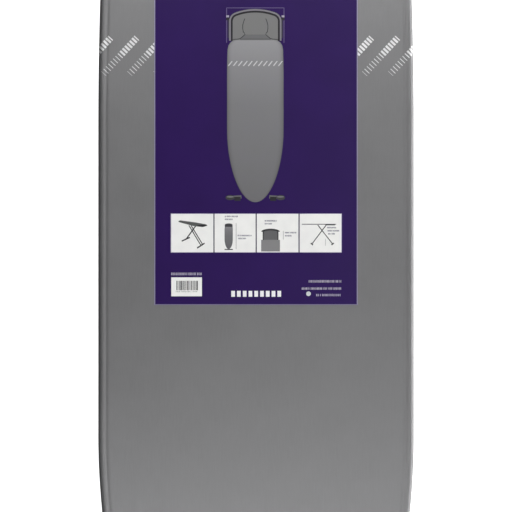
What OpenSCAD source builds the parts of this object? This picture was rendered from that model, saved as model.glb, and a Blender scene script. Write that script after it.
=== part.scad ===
// Folding ironing board: padded mesh top, iron rest, scissor legs and a stepless height lock.
// +Y runs from the nose to the iron rest, +X to the right, +Z up. The origin is on the floor
// under the middle of the board. Lengths are in millimetres, angles in degrees.

/* [Top] */
// Length of the ironing surface, nose tip to heel
cover_l = 1200; // [1000:10:1400]
// Width of the ironing surface
cover_w = 418; // [360:2:500]
// Length over which the nose narrows
nose_l = 520; // [440:10:600]
// Fullness of the nose curve
nose_power = 1.8; // [1.4:0.05:2]
// Length of a rounded heel corner
corner_l = 68; // [62:1:80]
// Width of a rounded heel corner
corner_w = 54; // [52:1:70]
// Distance from the nose at which the sides start to draw in
taper_from = 930; // [600:10:1000]
// How much each side has drawn in at the heel
heel_taper = 6.5; // [0:0.5:12]
// Thickness of the fabric cover
cover_t = 1.5; // [1:0.1:2.5]
// How far the cover's hem reaches in under the edge
hem_w = 30; // [22:1:34]
// Thickness of the padding
pad_t = 7; // [5:0.5:8]
// Diameter of the tube round the edge
edge_tube_d = 16; // [14:1:20]
// Wall of the edge tube and of the iron rest's tube
frame_wall = 1.2; // [1:0.1:2]
// Thickness of the mesh sheet
mesh_t = 0.8; // [0.6:0.1:1.5]
// Length of one mesh opening along the board
mesh_hole_l = 46; // [30:1:60]
// Width of one mesh opening across the board
mesh_hole_w = 26; // [18:1:34]
// Width of the metal left between two mesh openings
mesh_strand = 7; // [5:0.5:10]

/* [Cross members and rails] */
// Width of a cross member along the board
member_w = 30; // [24:1:36]
// Height of a cross member
member_h = 26; // [26:1:30]
// Wall of a cross member
member_wall = 1; // [1:0.1:2.5]
// Outside height of a slide rail
rail_h = 26; // [24:1:32]
// Outside depth of a slide rail
rail_depth = 18; // [16:1:24]
// Wall of a slide rail
rail_wall = 1.5; // [1.2:0.1:3]

/* [Iron rest] */
// How far the iron rest reaches past the cover
rest_reach = 230; // [200:5:280]
// Distance of the iron rest's outer side from the cover's edge
rest_inboard = 16; // [12:1:30]
// Diameter of the iron rest's tube
rest_tube_d = 16; // [14:1:18]
// Radius of the rest tube's shoulder bends
rest_bend_r = 60; // [45:1:70]
// Radius of the rest tube's arch
rest_arch_r = 420; // [380:10:500]
// How far the rest tube runs in under the cover
rest_root = 145; // [135:5:165]
// Wall of the moulded tray
tray_t = 3; // [2:0.5:4]
// Height of the tray's skirt
tray_h = 13; // [10:1:15]
// Gap between the tray and the tube
tray_gap = 6; // [3:0.5:10]
// Thickness of the heat mat
mat_t = 2.5; // [2:0.5:4]

/* [Legs] */
// Cross pivot to the foot's end, along a leg
lower_l = 670; // [600:5:720]
// Cross pivot to the head pivot, along a leg
upper_l = 270; // [250:5:300]
// Height of the head pivot over the leg tube's axis
pivot_rise = 28; // [28:1:34]
// Slope of the legs as set up
leg_angle = 53; // [40:1:66]
// Distance of the folded nose foot from the nose tip
fold_margin = 35; // [25:5:80]
// Diameter of the nose leg's tube
nose_tube_d = 32; // [28:1:32]
// Diameter of each heel leg tube
heel_tube_d = 22; // [19:1:25]
// Wall of the leg tubes
leg_wall = 1.2; // [1:0.1:2.5]
// Distance between the axes of the two heel leg tubes
heel_spacing = 120; // [112:2:130]
// Width over a foot's end caps
foot_w = 430; // [400:5:480]
// How far a foot's ends sit below its middle, along the leg
foot_bow = 25; // [15:1:30]
// Diameter of a foot bar
foot_bar_d = 25; // [22:1:28]
// Radius of a foot cap's round end
foot_cap_r = 18; // [16:0.5:20]
// Length of a foot cap's sleeve
foot_cap_l = 46; // [38:1:48]
// Foot bar's middle to the heel leg's brace
brace_up = 230; // [150:5:260]

/* [Pivots] */
// Diameter of the head pivot pin
head_pin_d = 10; // [8:1:10]
// Diameter of the cross bolt
cross_bolt_d = 10; // [8:1:12]
// Diameter of the slide axle
axle_d = 12; // [10:1:12]
// Radial clearance of a turning fit
turn_gap = 0.05; // [0.02:0.01:0.1]
// Side gap between two parts that turn against each other
side_gap = 1; // [0.5:0.25:1.5]

/* [Height lock] */
// Diameter of the guide rod
rod_d = 12; // [10:1:12]
// Height of the guide rod over the slide axle
rod_rise = 20; // [20:1:22]
// Length of the release lever, from the rod to its tip
lever_l = 165; // [140:5:175]
// Height of the lever's steel bar
lever_h = 11; // [8:1:11]
// Thickness of the lever's steel bar
lever_t = 4; // [3:0.5:5]
// Tilt that jams the lever on the rod
lock_tilt = 3.5; // [2:0.5:4]
// Gap between the lever and the squeeze bar
squeeze_gap = 30; // [26:1:36]

/* [Wheels] */
// Radius of a transport wheel
wheel_r = 19; // [16:0.5:19]
// Width of a transport wheel
wheel_w = 22; // [16:1:22]
// Distance of a wheel's inner face from the middle
wheel_x = 123; // [105:1:124]
// Wheel axis past the foot bar, along the leg
wheel_out = 18; // [16:1:20]
// Wheel axis over the foot bar, towards the board
wheel_up = 29; // [29:1:34]

/* [Card] */
// Width of the display card
card_w = 268; // [200:2:300]
// Length of the display card
card_l = 440; // [300:5:460]
// Distance of the card's far edge from the cover's heel
card_from_heel = 63; // [60:1:120]
// Thickness of the card
card_t = 0.6; // [0.4:0.1:1]

/* [Hidden] */
$fn = 48;

// Colours
fabric_grey = [0.5, 0.5, 0.51];
felt_white = [0.85, 0.85, 0.8];
print_purple = [0.18, 0.1, 0.33];
steel_grey = [0.68, 0.68, 0.7];
leg_black = [0.1, 0.1, 0.11];
plastic_black = [0.07, 0.07, 0.08];
tray_grey = [0.4, 0.4, 0.41];

left = -1;
right = 1;
eps = 0.01;

// Lengthwise places
nose_y = -(cover_l + rest_reach) / 2;
heel_y = nose_y + cover_l;
rest_end_y = heel_y + rest_reach;
head_y = nose_y + fold_margin + lower_l + upper_l;

// Slide positions that the legs ask for, folded and at the greatest height
max_angle = 68;
function slide_y(angle) = head_y - 2 * (upper_l * cos(angle) - pivot_rise * sin(angle));

// Heights, measured from the edge tube's axis
edge_r = edge_tube_d / 2;
top_z = edge_r + cover_t;
mesh_z = edge_r - pad_t - mesh_t;
member_z = mesh_z - member_h;
pivot_z = member_z - rail_h / 2;
rod_z = pivot_z + rod_rise;
board_z = foot_cap_r + (lower_l + upper_l) * sin(leg_angle) + pivot_rise * cos(leg_angle) - pivot_z;

// Cross pivot of the legs
cross_y = head_y - (upper_l * cos(leg_angle) - pivot_rise * sin(leg_angle));
cross_z = foot_cap_r + lower_l * sin(leg_angle);
axle_y = slide_y(leg_angle);

// Lock housing, around the slide axle and the guide rod
housing_w = 48;
housing_l = 44;
housing_below = 9;
housing_above = rod_rise + rod_d / 2 + 4;

// Cross members
nose_spare = 14;
middle_spare = 12;
nose_member_y = slide_y(0) - housing_l / 2 - member_w / 2 - nose_spare;
middle_member_y = slide_y(max_angle) + housing_l / 2 + member_w / 2 + middle_spare;
tube_root_past = 10;
heel_member_y = heel_y - rest_root + member_w / 2 + tube_root_past;
member_gap = 8;
member_inset = hem_w + member_gap;

// Slide rails and brackets
shoe_gap = 0.5;
socket_wall = 2;
head_half_w = heel_tube_d / 2 + socket_wall;
nose_head_half_w = nose_tube_d / 2 + socket_wall;
ear_t = 3;
rail_room = 11;
rail_in = heel_spacing / 2 + head_half_w + rail_room;
rail_out = rail_in + rail_depth;
rail_from = nose_member_y - member_w / 2;
rail_to = middle_member_y + member_w / 2;

rail_mid = (rail_in + rail_out) / 2;
rail_screw_places = [for (x = [-rail_mid, rail_mid], y = [nose_member_y, middle_member_y]) [x, y]];
bracket_screw_out = 9;
bracket_screw_half = 7;
bracket_screw_x = nose_head_half_w + side_gap + ear_t + bracket_screw_out;
bracket_screw_places = [
    for (x = [-bracket_screw_x, bracket_screw_x], y = [-bracket_screw_half, bracket_screw_half])
        [x, head_y + y],
];

// Feet
foot_half = foot_w / 2 - foot_cap_r;
foot_mid_z = -(lower_l - foot_bow);
foot_slope = atan(foot_bow / foot_half);
foot_arm_l = foot_half / cos(foot_slope);

// ---------------------------------------------------------------- outlines

// Half width of the cover at a distance n from the nose tip. The nose follows the square root of
// 1 - (1 - t) ^ power, the sides draw in as a parabola, and the corners are quarter ellipses.
function nose_half(t) = cover_w / 2 * sqrt(1 - pow(1 - t, nose_power));
function draw_in(n) = heel_taper * pow(max(0, n - taper_from) / (cover_l - taper_from), 2);
function corner_cut(n) = let (e = max(0, n - cover_l + corner_l) / corner_l)
    corner_w * (1 - sqrt(1 - e * e));
function half_at(n) = nose_half(min(1, n / nose_l)) - draw_in(n) - corner_cut(n);

// Distances from the nose tip at which the outline has a point
nose_steps = 20;
side_steps = 6;
corner_steps = 8;
side_from = max(taper_from, nose_l);
side_to = cover_l - corner_l;
outline_places = concat(
    [for (i = [0 : nose_steps]) nose_l * (1 - cos(90 * i / nose_steps))],
    [for (i = [0 : side_steps - 1]) side_from + (side_to - side_from) * i / side_steps],
    [for (i = [0 : corner_steps]) side_to + corner_l * sin(90 * i / corner_steps)]
);
right_side = [for (n = outline_places) [half_at(n), nose_y + n]];
left_side = [for (i = [len(right_side) - 1 : -1 : 1]) [-right_side[i].x, right_side[i].y]];
outline = concat(right_side, left_side);

function unit(v) = v / norm(v);
// Inward normal of a closed anticlockwise path at point i
function inward(path, i) = let (n = len(path), d = unit(path[(i + 1) % n] - path[(i + n - 1) % n]))
    [-d.y, d.x];
// The cover's outline, moved in by a distance
function inset(by) = [for (i = [0 : len(outline) - 1]) outline[i] + by * inward(outline, i)];

module plate(by, thickness) linear_extrude(thickness) polygon(inset(by));

// Points of an arc about c, from angle a0 to a1
function arc(c, r, a0, a1, steps) = [for (i = [0 : steps]) let (a = a0 + (a1 - a0) * i / steps)
    c + r * [cos(a), sin(a)]];

// Round tube along a flat path: a ring of points about each path point, square to the path
tube_sides = 14;
function ring(p, across, r) = [for (k = [0 : tube_sides - 1]) let (a = 360 * k / tube_sides)
    [p.x + across.x * r * cos(a), p.y + across.y * r * cos(a), r * sin(a)]];
function ring_faces(from, to) = [for (k = [0 : tube_sides - 1]) let (m = (k + 1) % tube_sides)
    [from * tube_sides + k, to * tube_sides + k, to * tube_sides + m, from * tube_sides + m]];

module closed_tube(path, r) {
    n = len(path);
    polyhedron(
        points = [for (i = [0 : n - 1]) each ring(path[i], inward(path, i), r)],
        faces = [for (i = [0 : n - 1]) each ring_faces(i, (i + 1) % n)],
        convexity = 4
    );
}

// Outward side of an open path at point i, which is the path's left when it runs anticlockwise
function across(path, i) = let (n = len(path) - 1, d = unit(path[min(i + 1, n)] - path[max(i - 1, 0)]))
    [-d.y, d.x];

module open_tube(path, r) {
    n = len(path);
    polyhedron(
        points = [for (i = [0 : n - 1]) each ring(path[i], across(path, i), r)],
        faces = concat(
            [for (i = [0 : n - 2]) each ring_faces(i, i + 1)],
            [[for (k = [0 : tube_sides - 1]) k]],
            [[for (k = [tube_sides - 1 : -1 : 0]) (n - 1) * tube_sides + k]]
        ),
        convexity = 4
    );
}

// ---------------------------------------------------------------- places

module at_board(z = 0) translate([0, 0, board_z + z]) children();

// Frames of the two legs: origin on the cross pivot, +Z up along the tube, +Y towards the board
module at_nose_leg() translate([0, cross_y, cross_z]) rotate([leg_angle - 90, 0, 0])
    mirror([0, 1, 0]) children();
module at_heel_leg() translate([0, cross_y, cross_z]) rotate([90 - leg_angle, 0, 0]) children();

// Frame of a foot's arm: origin at the foot bar's middle, +Z out along the arm
module at_foot_arm(side) translate([0, 0, foot_mid_z]) rotate([0, side * (90 + foot_slope), 0]) children();

// Cylinder along X, centred on its length
module x_rod(d, l) rotate([0, 90, 0]) cylinder(d = d, h = l, center = true);
// Cylinder along X from x0 to x1
module x_bar(d, x0, x1) translate([(x0 + x1) / 2, 0, 0]) x_rod(d, x1 - x0);
// Profile in Y and Z, made as thick as w along X and centred
module x_plate(w) rotate([90, 0, 90]) linear_extrude(w, center = true) children();

// Screw that points up from the origin, with its pan head below
screw_d = 5;
screw_head_d = 9;
screw_head_h = 3;
screw_past = 3;
module screw(l) {
    translate([0, 0, -screw_head_h]) cylinder(d = screw_head_d, h = screw_head_h);
    translate([0, 0, -eps]) cylinder(d = screw_d, h = l + eps);
}

// ---------------------------------------------------------------- top

// The fabric cover: a tray-shaped shell over the padding, with its hem turned in underneath
module cover() color(fabric_grey) at_board() difference() {
    translate([0, 0, -top_z]) plate(0, 2 * top_z);
    translate([0, 0, -edge_r]) plate(cover_t, 2 * edge_r);
    translate([0, 0, -top_z - 1]) plate(hem_w, edge_r);
}

// Elastic cord that draws the hem in
elastic_d = 3;
module hem_elastic() color(plastic_black) at_board(-edge_r + elastic_d / 2 + 0.1)
    closed_tube(inset(hem_w - elastic_d), elastic_d / 2);

// Gap between the edge tube and what lies inside it
frame_gap = 0.2;
pad_inset = cover_t + edge_tube_d + frame_gap;
module pad() color(felt_white) at_board(mesh_z + mesh_t) plate(pad_inset, pad_t);

// Expanded sheet: a plate with staggered rows of diamond openings
mesh_margin = 6;
mesh_border = 60;
mesh_step_x = mesh_hole_w + mesh_strand;
mesh_step_y = (mesh_hole_l + mesh_strand) / 2;
module mesh_diamond() polygon([
    [-mesh_hole_w / 2, 0], [0, -mesh_hole_l / 2], [mesh_hole_w / 2, 0], [0, mesh_hole_l / 2],
]);
mesh_rows = floor((cover_l - 2 * mesh_border) / mesh_step_y);
mesh_cols = ceil(cover_w / mesh_step_x);
module mesh_top() color(steel_grey) at_board(mesh_z) linear_extrude(mesh_t) difference() {
    polygon(inset(pad_inset));
    for (row = [0 : mesh_rows]) {
        n = mesh_border + row * mesh_step_y;
        shift = (row % 2) * mesh_step_x / 2;
        narrowest = min(half_at(n - mesh_hole_l / 2), half_at(n + mesh_hole_l / 2));
        reach = narrowest - cover_t - edge_tube_d - mesh_margin;
        for (col = [-mesh_cols : mesh_cols])
            if (abs(col * mesh_step_x + shift) + mesh_hole_w / 2 < reach)
                translate([col * mesh_step_x + shift, nose_y + n]) mesh_diamond();
    }
}

module edge_tube() color(leg_black) at_board() difference() {
    closed_tube(inset(cover_t + edge_r), edge_r);
    closed_tube(inset(cover_t + edge_r), edge_r - frame_wall);
}

// Rectangular tube across the board that stops short of the hem, with screw holes in its underside
module cross_member(y, screw_places, half = cover_w) color(leg_black) at_board(member_z) difference() {
    intersection() {
        translate([-half, y - member_w / 2, 0]) cube([2 * half, member_w, member_h]);
        plate(member_inset, member_h);
    }
    translate([-cover_w, y - member_w / 2 + member_wall, member_wall])
        cube([2 * cover_w, member_w - 2 * member_wall, member_h - 2 * member_wall]);
    for (p = screw_places) translate([p.x, p.y, -1]) cylinder(d = screw_d, h = member_wall + 2);
    if (y < head_y - member_w) translate([0, y, rod_z - member_z]) rotate([90, 0, 0])
        cylinder(d = rod_d, h = 2 * member_w, center = true);
}

// Channel that opens towards the middle and holds a slide shoe
module rail(side) color(leg_black) at_board(pivot_z) difference() {
    translate([side > 0 ? rail_in : -rail_out, rail_from, -rail_h / 2])
        cube([rail_depth, rail_to - rail_from, rail_h]);
    translate([side > 0 ? rail_in - 1 : -rail_out + rail_wall, rail_from - 1, -rail_h / 2 + rail_wall])
        cube([rail_depth - rail_wall + 1, rail_to - rail_from + 2, rail_h - 2 * rail_wall]);
    for (p = rail_screw_places) translate([p.x, p.y, 0]) cylinder(d = screw_d, h = rail_h);
}

// Screws that hang the rails from the nose and middle cross members
module rail_screws() color(steel_grey) at_board(pivot_z + rail_h / 2 - rail_wall)
    for (p = rail_screw_places) translate([p.x, p.y, 0]) screw(rail_wall + member_wall + screw_past);

// How far the rod stands out of its members, and its washers
rod_past = 8;
washer_t = 2;
washer_rim = 4;
module guide_rod() color(steel_grey) at_board(rod_z)
    translate([0, nose_member_y - member_w / 2 - rod_past, 0]) rotate([-90, 0, 0])
        cylinder(d = rod_d, h = middle_member_y - nose_member_y + member_w + 2 * rod_past);

// Push-on washers that keep the guide rod in its members
module guide_rod_clips() color(steel_grey) at_board(rod_z)
    for (y = [nose_member_y - member_w / 2 - washer_t, middle_member_y + member_w / 2])
        translate([0, y, 0]) rotate([-90, 0, 0]) difference() {
            cylinder(d = rod_d + 2 * washer_rim, h = washer_t);
            translate([0, 0, -1]) cylinder(d = rod_d, h = washer_t + 2);
        }

// Angle plate that carries one end of the head pin
ear_r = 13;
flange_w = 20;
module pivot_bracket(side) {
    ear_x = nose_head_half_w + side_gap;
    color(leg_black) at_board(pivot_z) translate([0, head_y, 0]) difference() {
        union() {
            translate([side * (ear_x + ear_t / 2), 0, 0]) x_plate(ear_t) {
                circle(ear_r);
                translate([-ear_r, 0]) square([2 * ear_r, rail_h / 2]);
            }
            translate([side > 0 ? ear_x : -ear_x - flange_w, -ear_r, rail_h / 2 - ear_t])
                cube([flange_w, 2 * ear_r, ear_t]);
        }
        x_rod(head_pin_d, 4 * nose_tube_d);
        for (p = bracket_screw_places) translate([p.x, p.y - head_y, 0]) cylinder(d = screw_d, h = rail_h);
    }
}
module pivot_bracket_screws() color(steel_grey) at_board(pivot_z + rail_h / 2 - ear_t)
    for (p = bracket_screw_places) translate([p.x, p.y, 0]) screw(ear_t + member_wall + screw_past);

head_pin_end = nose_head_half_w + side_gap + ear_t;
pin_past = 6;
pin_head_t = 4;
pin_head_rim = 3;
module head_pin() color(steel_grey) at_board(pivot_z) translate([0, head_y, 0]) {
    x_bar(head_pin_d, -head_pin_end - pin_past, head_pin_end + eps);
    x_bar(head_pin_d + 2 * pin_head_rim, head_pin_end, head_pin_end + pin_head_t);
}
pin_clip_t = 2;
pin_clip_rim = 3.5;
module head_pin_clip() color(steel_grey) at_board(pivot_z) translate([0, head_y, 0]) difference() {
    x_bar(head_pin_d + 2 * pin_clip_rim, -head_pin_end - pin_clip_t, -head_pin_end);
    x_bar(head_pin_d, -head_pin_end - pin_clip_t - 1, -head_pin_end + 1);
}

// ---------------------------------------------------------------- iron rest

rest_r = rest_tube_d / 2;
rest_gap = 0.5;
rest_z = min(member_z + rest_r, -top_z - rest_r - rest_gap);
rest_half = cover_w / 2 - rest_inboard - rest_r;
rest_arch_y = rest_end_y - rest_r - rest_arch_r;
rest_bend_y = rest_arch_y + sqrt(pow(rest_arch_r - rest_bend_r, 2) - pow(rest_half - rest_bend_r, 2));
rest_bend_a = atan2(rest_bend_y - rest_arch_y, rest_half - rest_bend_r);
rest_root_y = heel_y - rest_root;

// Centre line of the rest tube, moved inwards by a distance: two straight legs from root,
// two shoulder bends and the arch
function rest_line(by, root) = concat(
    [[rest_half - by, root]],
    arc([rest_half - rest_bend_r, rest_bend_y], rest_bend_r - by, 0, rest_bend_a, 8),
    arc([0, rest_arch_y], rest_arch_r - by, rest_bend_a + 3, 177 - rest_bend_a, 10),
    arc([rest_bend_r - rest_half, rest_bend_y], rest_bend_r - by, 180 - rest_bend_a, 180, 8),
    [[by - rest_half, root]]
);

module rest_tube() color(leg_black) at_board(rest_z) difference() {
    open_tube(rest_line(0, rest_root_y), rest_r);
    open_tube(rest_line(0, rest_root_y - 1), rest_r - frame_wall);
}

// Saddle clamps that hold the rest tube's legs beside the heel cross member
clamp_l = 18;
clamp_t = 2;
clamp_side = 1.5;
strap_z = member_z - rest_z - clamp_t;
clamp_half = rest_r + clamp_side;
clamp_screw_in = 15;
clamp_lip = 5;
strap_w = 34;
strap_mid = 15;
clamp_screw_x = rest_half - clamp_half - clamp_screw_in;
heel_member_half = rest_half - clamp_half - rest_gap;
clamp_screw_places = [for (x = [-clamp_screw_x, clamp_screw_x]) [x, heel_member_y]];
module rest_tube_clamp(side) difference() {
    union() {
        translate([side * rest_half - clamp_half, -clamp_l / 2, -rest_r - clamp_t])
            cube([2 * clamp_half, clamp_l, rest_r + clamp_t + clamp_lip]);
        translate([side * (rest_half - strap_mid) - strap_w / 2, -clamp_l / 2, strap_z])
            cube([strap_w, clamp_l, clamp_t]);
    }
    translate([side * rest_half, 0, 0]) rotate([90, 0, 0])
        cylinder(r = rest_r, h = 2 * clamp_l, center = true);
    translate([side * clamp_screw_x, 0, -2 * rest_r]) cylinder(d = screw_d, h = 2 * rest_r);
}
module rest_tube_clamps() color(leg_black) at_board(rest_z) translate([0, heel_member_y, 0])
    for (side = [left, right]) rest_tube_clamp(side);

// Round bars across the iron rest that carry the tray
rest_bar_d = 8;
tray_top = 5;
rest_bar_z = tray_top - tray_t - rest_bar_d / 2;
bar_from_heel = 40;
bar_from_bend = 8;
rest_bar_places = [heel_y + bar_from_heel, rest_bend_y - bar_from_bend];
tray_screw_x = 110;
tray_screw_places = [for (x = [-tray_screw_x, tray_screw_x], y = rest_bar_places) [x, y]];
tray_screw_d = 4;
tray_screw_head_d = 7;
tray_screw_head_h = 2;
module rest_cross_bars() color(leg_black) at_board(rest_z + rest_bar_z) difference() {
    for (y = rest_bar_places) translate([0, y, 0]) x_rod(rest_bar_d, 2 * (rest_half - rest_r));
    for (p = tray_screw_places) translate([p.x, p.y, 0])
        cylinder(d = tray_screw_d, h = 2 * rest_bar_d, center = true);
}

// Moulded tray inside the iron rest: a plate with a skirt, open below
tray_under = 5;
module rest_tray() color(tray_grey) at_board(rest_z + tray_top - tray_h) difference() {
    linear_extrude(tray_h) polygon(rest_line(rest_r + tray_gap, heel_y - tray_under));
    translate([0, 0, -tray_t]) linear_extrude(tray_h)
        polygon(rest_line(rest_r + tray_gap + tray_t, heel_y - tray_under + tray_t));
    translate([0, 0, tray_h - tray_top + rest_bar_z]) for (y = rest_bar_places) translate([0, y, 0]) {
        x_rod(rest_bar_d, 2 * rest_half);
    }
    for (p = tray_screw_places) translate([p.x, p.y, 0]) cylinder(d = tray_screw_d, h = tray_h - 1);
}

// Heat mat: its side, as distance from the middle and distance from the cover's heel
mat_side = [[84, 22], [72, 42], [86, 66], [89, 90], [87, 116], [74, 156], [72, 190]];
mat_right = [for (p = mat_side) [p.x, heel_y + p.y]];
mat_left = [for (i = [len(mat_right) - 1 : -1 : 0]) [-mat_right[i].x, mat_right[i].y]];
module rest_mat() color(plastic_black) at_board(rest_z + tray_top) linear_extrude(mat_t)
    polygon(concat(mat_right, mat_left));

// Screws up through the clamps, and up through the cross bars into the tray
module rest_screws() color(steel_grey) {
    at_board(rest_z + strap_z) for (p = clamp_screw_places) translate([p.x, p.y, 0])
        screw(clamp_t + member_wall + screw_past);
    at_board(rest_z + rest_bar_z - rest_bar_d / 2) for (p = tray_screw_places) translate([p.x, p.y, 0]) {
        translate([0, 0, -tray_screw_head_h]) cylinder(d = tray_screw_head_d, h = tray_screw_head_h);
        translate([0, 0, -eps]) cylinder(d = tray_screw_d, h = rest_bar_d + tray_t - 1);
    }
}

module display_card() color(print_purple) at_board(top_z)
    translate([-card_w / 2, heel_y - card_from_heel - card_l, 0]) cube([card_w, card_l, card_t]);

// ---------------------------------------------------------------- legs

// Hollow tube along a leg from z0 to z1
module leg_tube(d, z0, z1) translate([0, 0, z0]) difference() {
    cylinder(d = d, h = z1 - z0);
    translate([0, 0, -1]) cylinder(d = d - 2 * leg_wall, h = z1 - z0 + 2);
}

// A head on a leg's top: a square socket for the tube, a web and a boss round the pivot
head_boss_r = 12;
head_l = 50;
head_top = 6;
head_web = 18;
module leg_head(half_w, tube_d, bore_d) difference() {
    union() {
        x_plate(2 * half_w) translate([pivot_rise, upper_l]) circle(head_boss_r);
        translate([-half_w, 0, upper_l - head_web / 2]) cube([2 * half_w, pivot_rise, head_web]);
        translate([-half_w, -half_w, upper_l - head_l]) cube([2 * half_w, 2 * half_w, head_l + head_top]);
    }
    translate([0, pivot_rise, upper_l]) x_rod(bore_d, 4 * half_w);
    translate([0, 0, upper_l - 2 * head_l]) cylinder(d = tube_d, h = 2 * head_l);
}

// Foot bar: two arms that slope down and meet in a mitre
module foot_arms(d, from_end) for (side = [left, right]) intersection() {
    at_foot_arm(side) translate([0, 0, -d]) cylinder(d = d, h = foot_arm_l - from_end + d);
    translate([side > 0 ? 0 : -foot_w, -d, foot_mid_z - foot_w / 2]) cube([foot_w, 2 * d, foot_w]);
}
bar_end = 4;
module foot_bar() difference() {
    foot_arms(foot_bar_d, bar_end);
    foot_arms(foot_bar_d - 2 * leg_wall, -1);
}

// Foot cap: a sleeve with a round end, drawn along the arm
module foot_cap(side) at_foot_arm(side) translate([0, 0, foot_arm_l]) rotate_extrude() polygon(concat(
    [[0, -bar_end], [foot_bar_d / 2, -bar_end], [foot_bar_d / 2, -foot_cap_l], [foot_cap_r - 1, -foot_cap_l],
     [foot_cap_r, 1 - foot_cap_l]],
    arc([0, 0], foot_cap_r, 0, 90, 10)
));

tube_over_bar = 5;
nose_tube_from = foot_mid_z + foot_bar_d / 2 + tube_over_bar;
module nose_leg_tube() color(leg_black) at_nose_leg() difference() {
    leg_tube(nose_tube_d, nose_tube_from, upper_l);
    x_rod(cross_bolt_d, 2 * nose_tube_d);
}
module nose_leg_head() color(plastic_black) at_nose_leg()
    leg_head(nose_head_half_w, nose_tube_d, head_pin_d + 2 * turn_gap);

// Socket that joins the nose leg to its foot bar
foot_socket_l = 58;
foot_socket_below = 17;
module nose_foot_socket() color(plastic_black) at_nose_leg() difference() {
    translate([0, 0, foot_mid_z - foot_socket_below])
        cylinder(d = nose_tube_d + 4 * socket_wall, h = foot_socket_l + foot_socket_below);
    translate([0, 0, nose_tube_from]) cylinder(d = nose_tube_d, h = lower_l);
    foot_arms(foot_bar_d, bar_end);
}
module nose_foot_bar() color(leg_black) at_nose_leg() foot_bar();
module heel_foot_bar() color(leg_black) at_heel_leg() foot_bar();

module heel_leg_tube(side) color(leg_black) at_heel_leg() difference() {
    translate([side * heel_spacing / 2, 0, 0])
        leg_tube(heel_tube_d, foot_mid_z - heel_spacing / 2 * tan(foot_slope), upper_l);
    x_rod(bush_d, 2 * heel_spacing);
    foot_arms(foot_bar_d, bar_end);
}
module heel_leg_head(side) color(plastic_black) at_heel_leg() translate([side * heel_spacing / 2, 0, 0])
    leg_head(head_half_w, heel_tube_d, axle_d + 2 * turn_gap);

brace_d = 16;
module heel_leg_brace() color(leg_black) at_heel_leg() difference() {
    translate([0, 0, foot_mid_z + brace_up]) x_rod(brace_d, heel_spacing);
    for (side = [left, right]) translate([side * heel_spacing / 2, 0, -lower_l])
        cylinder(d = heel_tube_d, h = lower_l);
}

// ---------------------------------------------------------------- cross pivot

bush_d = cross_bolt_d + 4;
bush_flange_t = 1.5;
bush_rim = 2.5;
heel_out = heel_spacing / 2 + heel_tube_d / 2 + bush_flange_t;
heel_in = heel_spacing / 2 - heel_tube_d / 2 - bush_flange_t;
module cross_bush(side) translate([side * heel_spacing / 2, 0, 0]) difference() {
    union() {
        x_rod(bush_d, heel_tube_d + 2 * bush_flange_t);
        for (end = [left, right]) translate([end * (heel_tube_d + bush_flange_t) / 2, 0, 0])
            x_rod(bush_d + 2 * bush_rim, bush_flange_t);
    }
    x_rod(cross_bolt_d + 2 * turn_gap, 2 * heel_tube_d);
}
module cross_bushes() color(plastic_black) at_heel_leg() for (side = [left, right]) cross_bush(side);

nut_h = 8;
bolt_head_h = 6;
bolt_past = 2;
hex_d = 1.85 * cross_bolt_d;
bolt_grip = heel_out + side_gap;
module cross_bolt() color(steel_grey) at_nose_leg() {
    x_bar(cross_bolt_d, -bolt_grip - nut_h - bolt_past, bolt_grip + eps);
    translate([bolt_grip, 0, 0]) rotate([0, 90, 0]) cylinder(d = hex_d, h = bolt_head_h, $fn = 6);
}
module cross_bolt_nut() color(steel_grey) at_nose_leg() translate([-bolt_grip, 0, 0]) rotate([0, -90, 0])
    difference() {
        cylinder(d = hex_d, h = nut_h, $fn = 6);
        translate([0, 0, -1]) cylinder(d = cross_bolt_d, h = nut_h + 2);
    }
// Sleeves on the bolt that keep the legs apart
spacer_wall = 4;
module cross_spacers() color(plastic_black) at_nose_leg() for (side = [left, right]) difference() {
    translate([side * (nose_tube_d / 2 + heel_in - side_gap) / 2, 0, 0])
        x_rod(cross_bolt_d + 2 * spacer_wall, heel_in - side_gap - nose_tube_d / 2);
    x_rod(cross_bolt_d, heel_spacing);
}

// ---------------------------------------------------------------- wheels

cheek_t = 2.5;
cheek_r = foot_bar_d / 2 + 4;
wheel_pin_d = 6;
bridge_t = 7;
bridge_l = 18;
wheel_mid = wheel_x + wheel_w / 2;
cheek_out = wheel_w / 2 + side_gap + cheek_t;
wheel_arm_z = foot_mid_z - wheel_mid * tan(foot_slope);
wheel_axis_z = wheel_arm_z - wheel_out;
module at_wheel(side) at_nose_leg() translate([side * wheel_mid, wheel_up, wheel_axis_z]) children();

module wheel_cheek() x_plate(cheek_t) {
    translate([0, wheel_arm_z]) circle(cheek_r);
    translate([wheel_up, wheel_axis_z]) circle(wheel_pin_d);
    translate([0, wheel_arm_z]) rotate(atan2(-wheel_out, wheel_up)) translate([0, -wheel_pin_d + 1])
        square([norm([wheel_up, wheel_out]), 2 * wheel_pin_d - 2]);
}
module wheel_bracket(side) color(leg_black) at_nose_leg() difference() {
    union() {
        for (end = [left, right]) translate([side * wheel_mid + end * (cheek_out - cheek_t / 2), 0, 0])
            wheel_cheek();
        translate([side * wheel_mid - cheek_out, -cheek_r, wheel_arm_z - bridge_l / 2])
            cube([2 * cheek_out, bridge_t, bridge_l]);
    }
    foot_arms(foot_bar_d, 0);
    translate([0, wheel_up, wheel_axis_z]) x_rod(wheel_pin_d, foot_w);
}
pin_rivet_t = 1.5;
module wheel_pins() color(steel_grey) for (side = [left, right]) at_wheel(side) {
    x_rod(wheel_pin_d, 2 * cheek_out);
    for (end = [left, right]) translate([end * (cheek_out + pin_rivet_t / 2), 0, 0])
        x_rod(wheel_pin_d + 4, pin_rivet_t);
}

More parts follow.
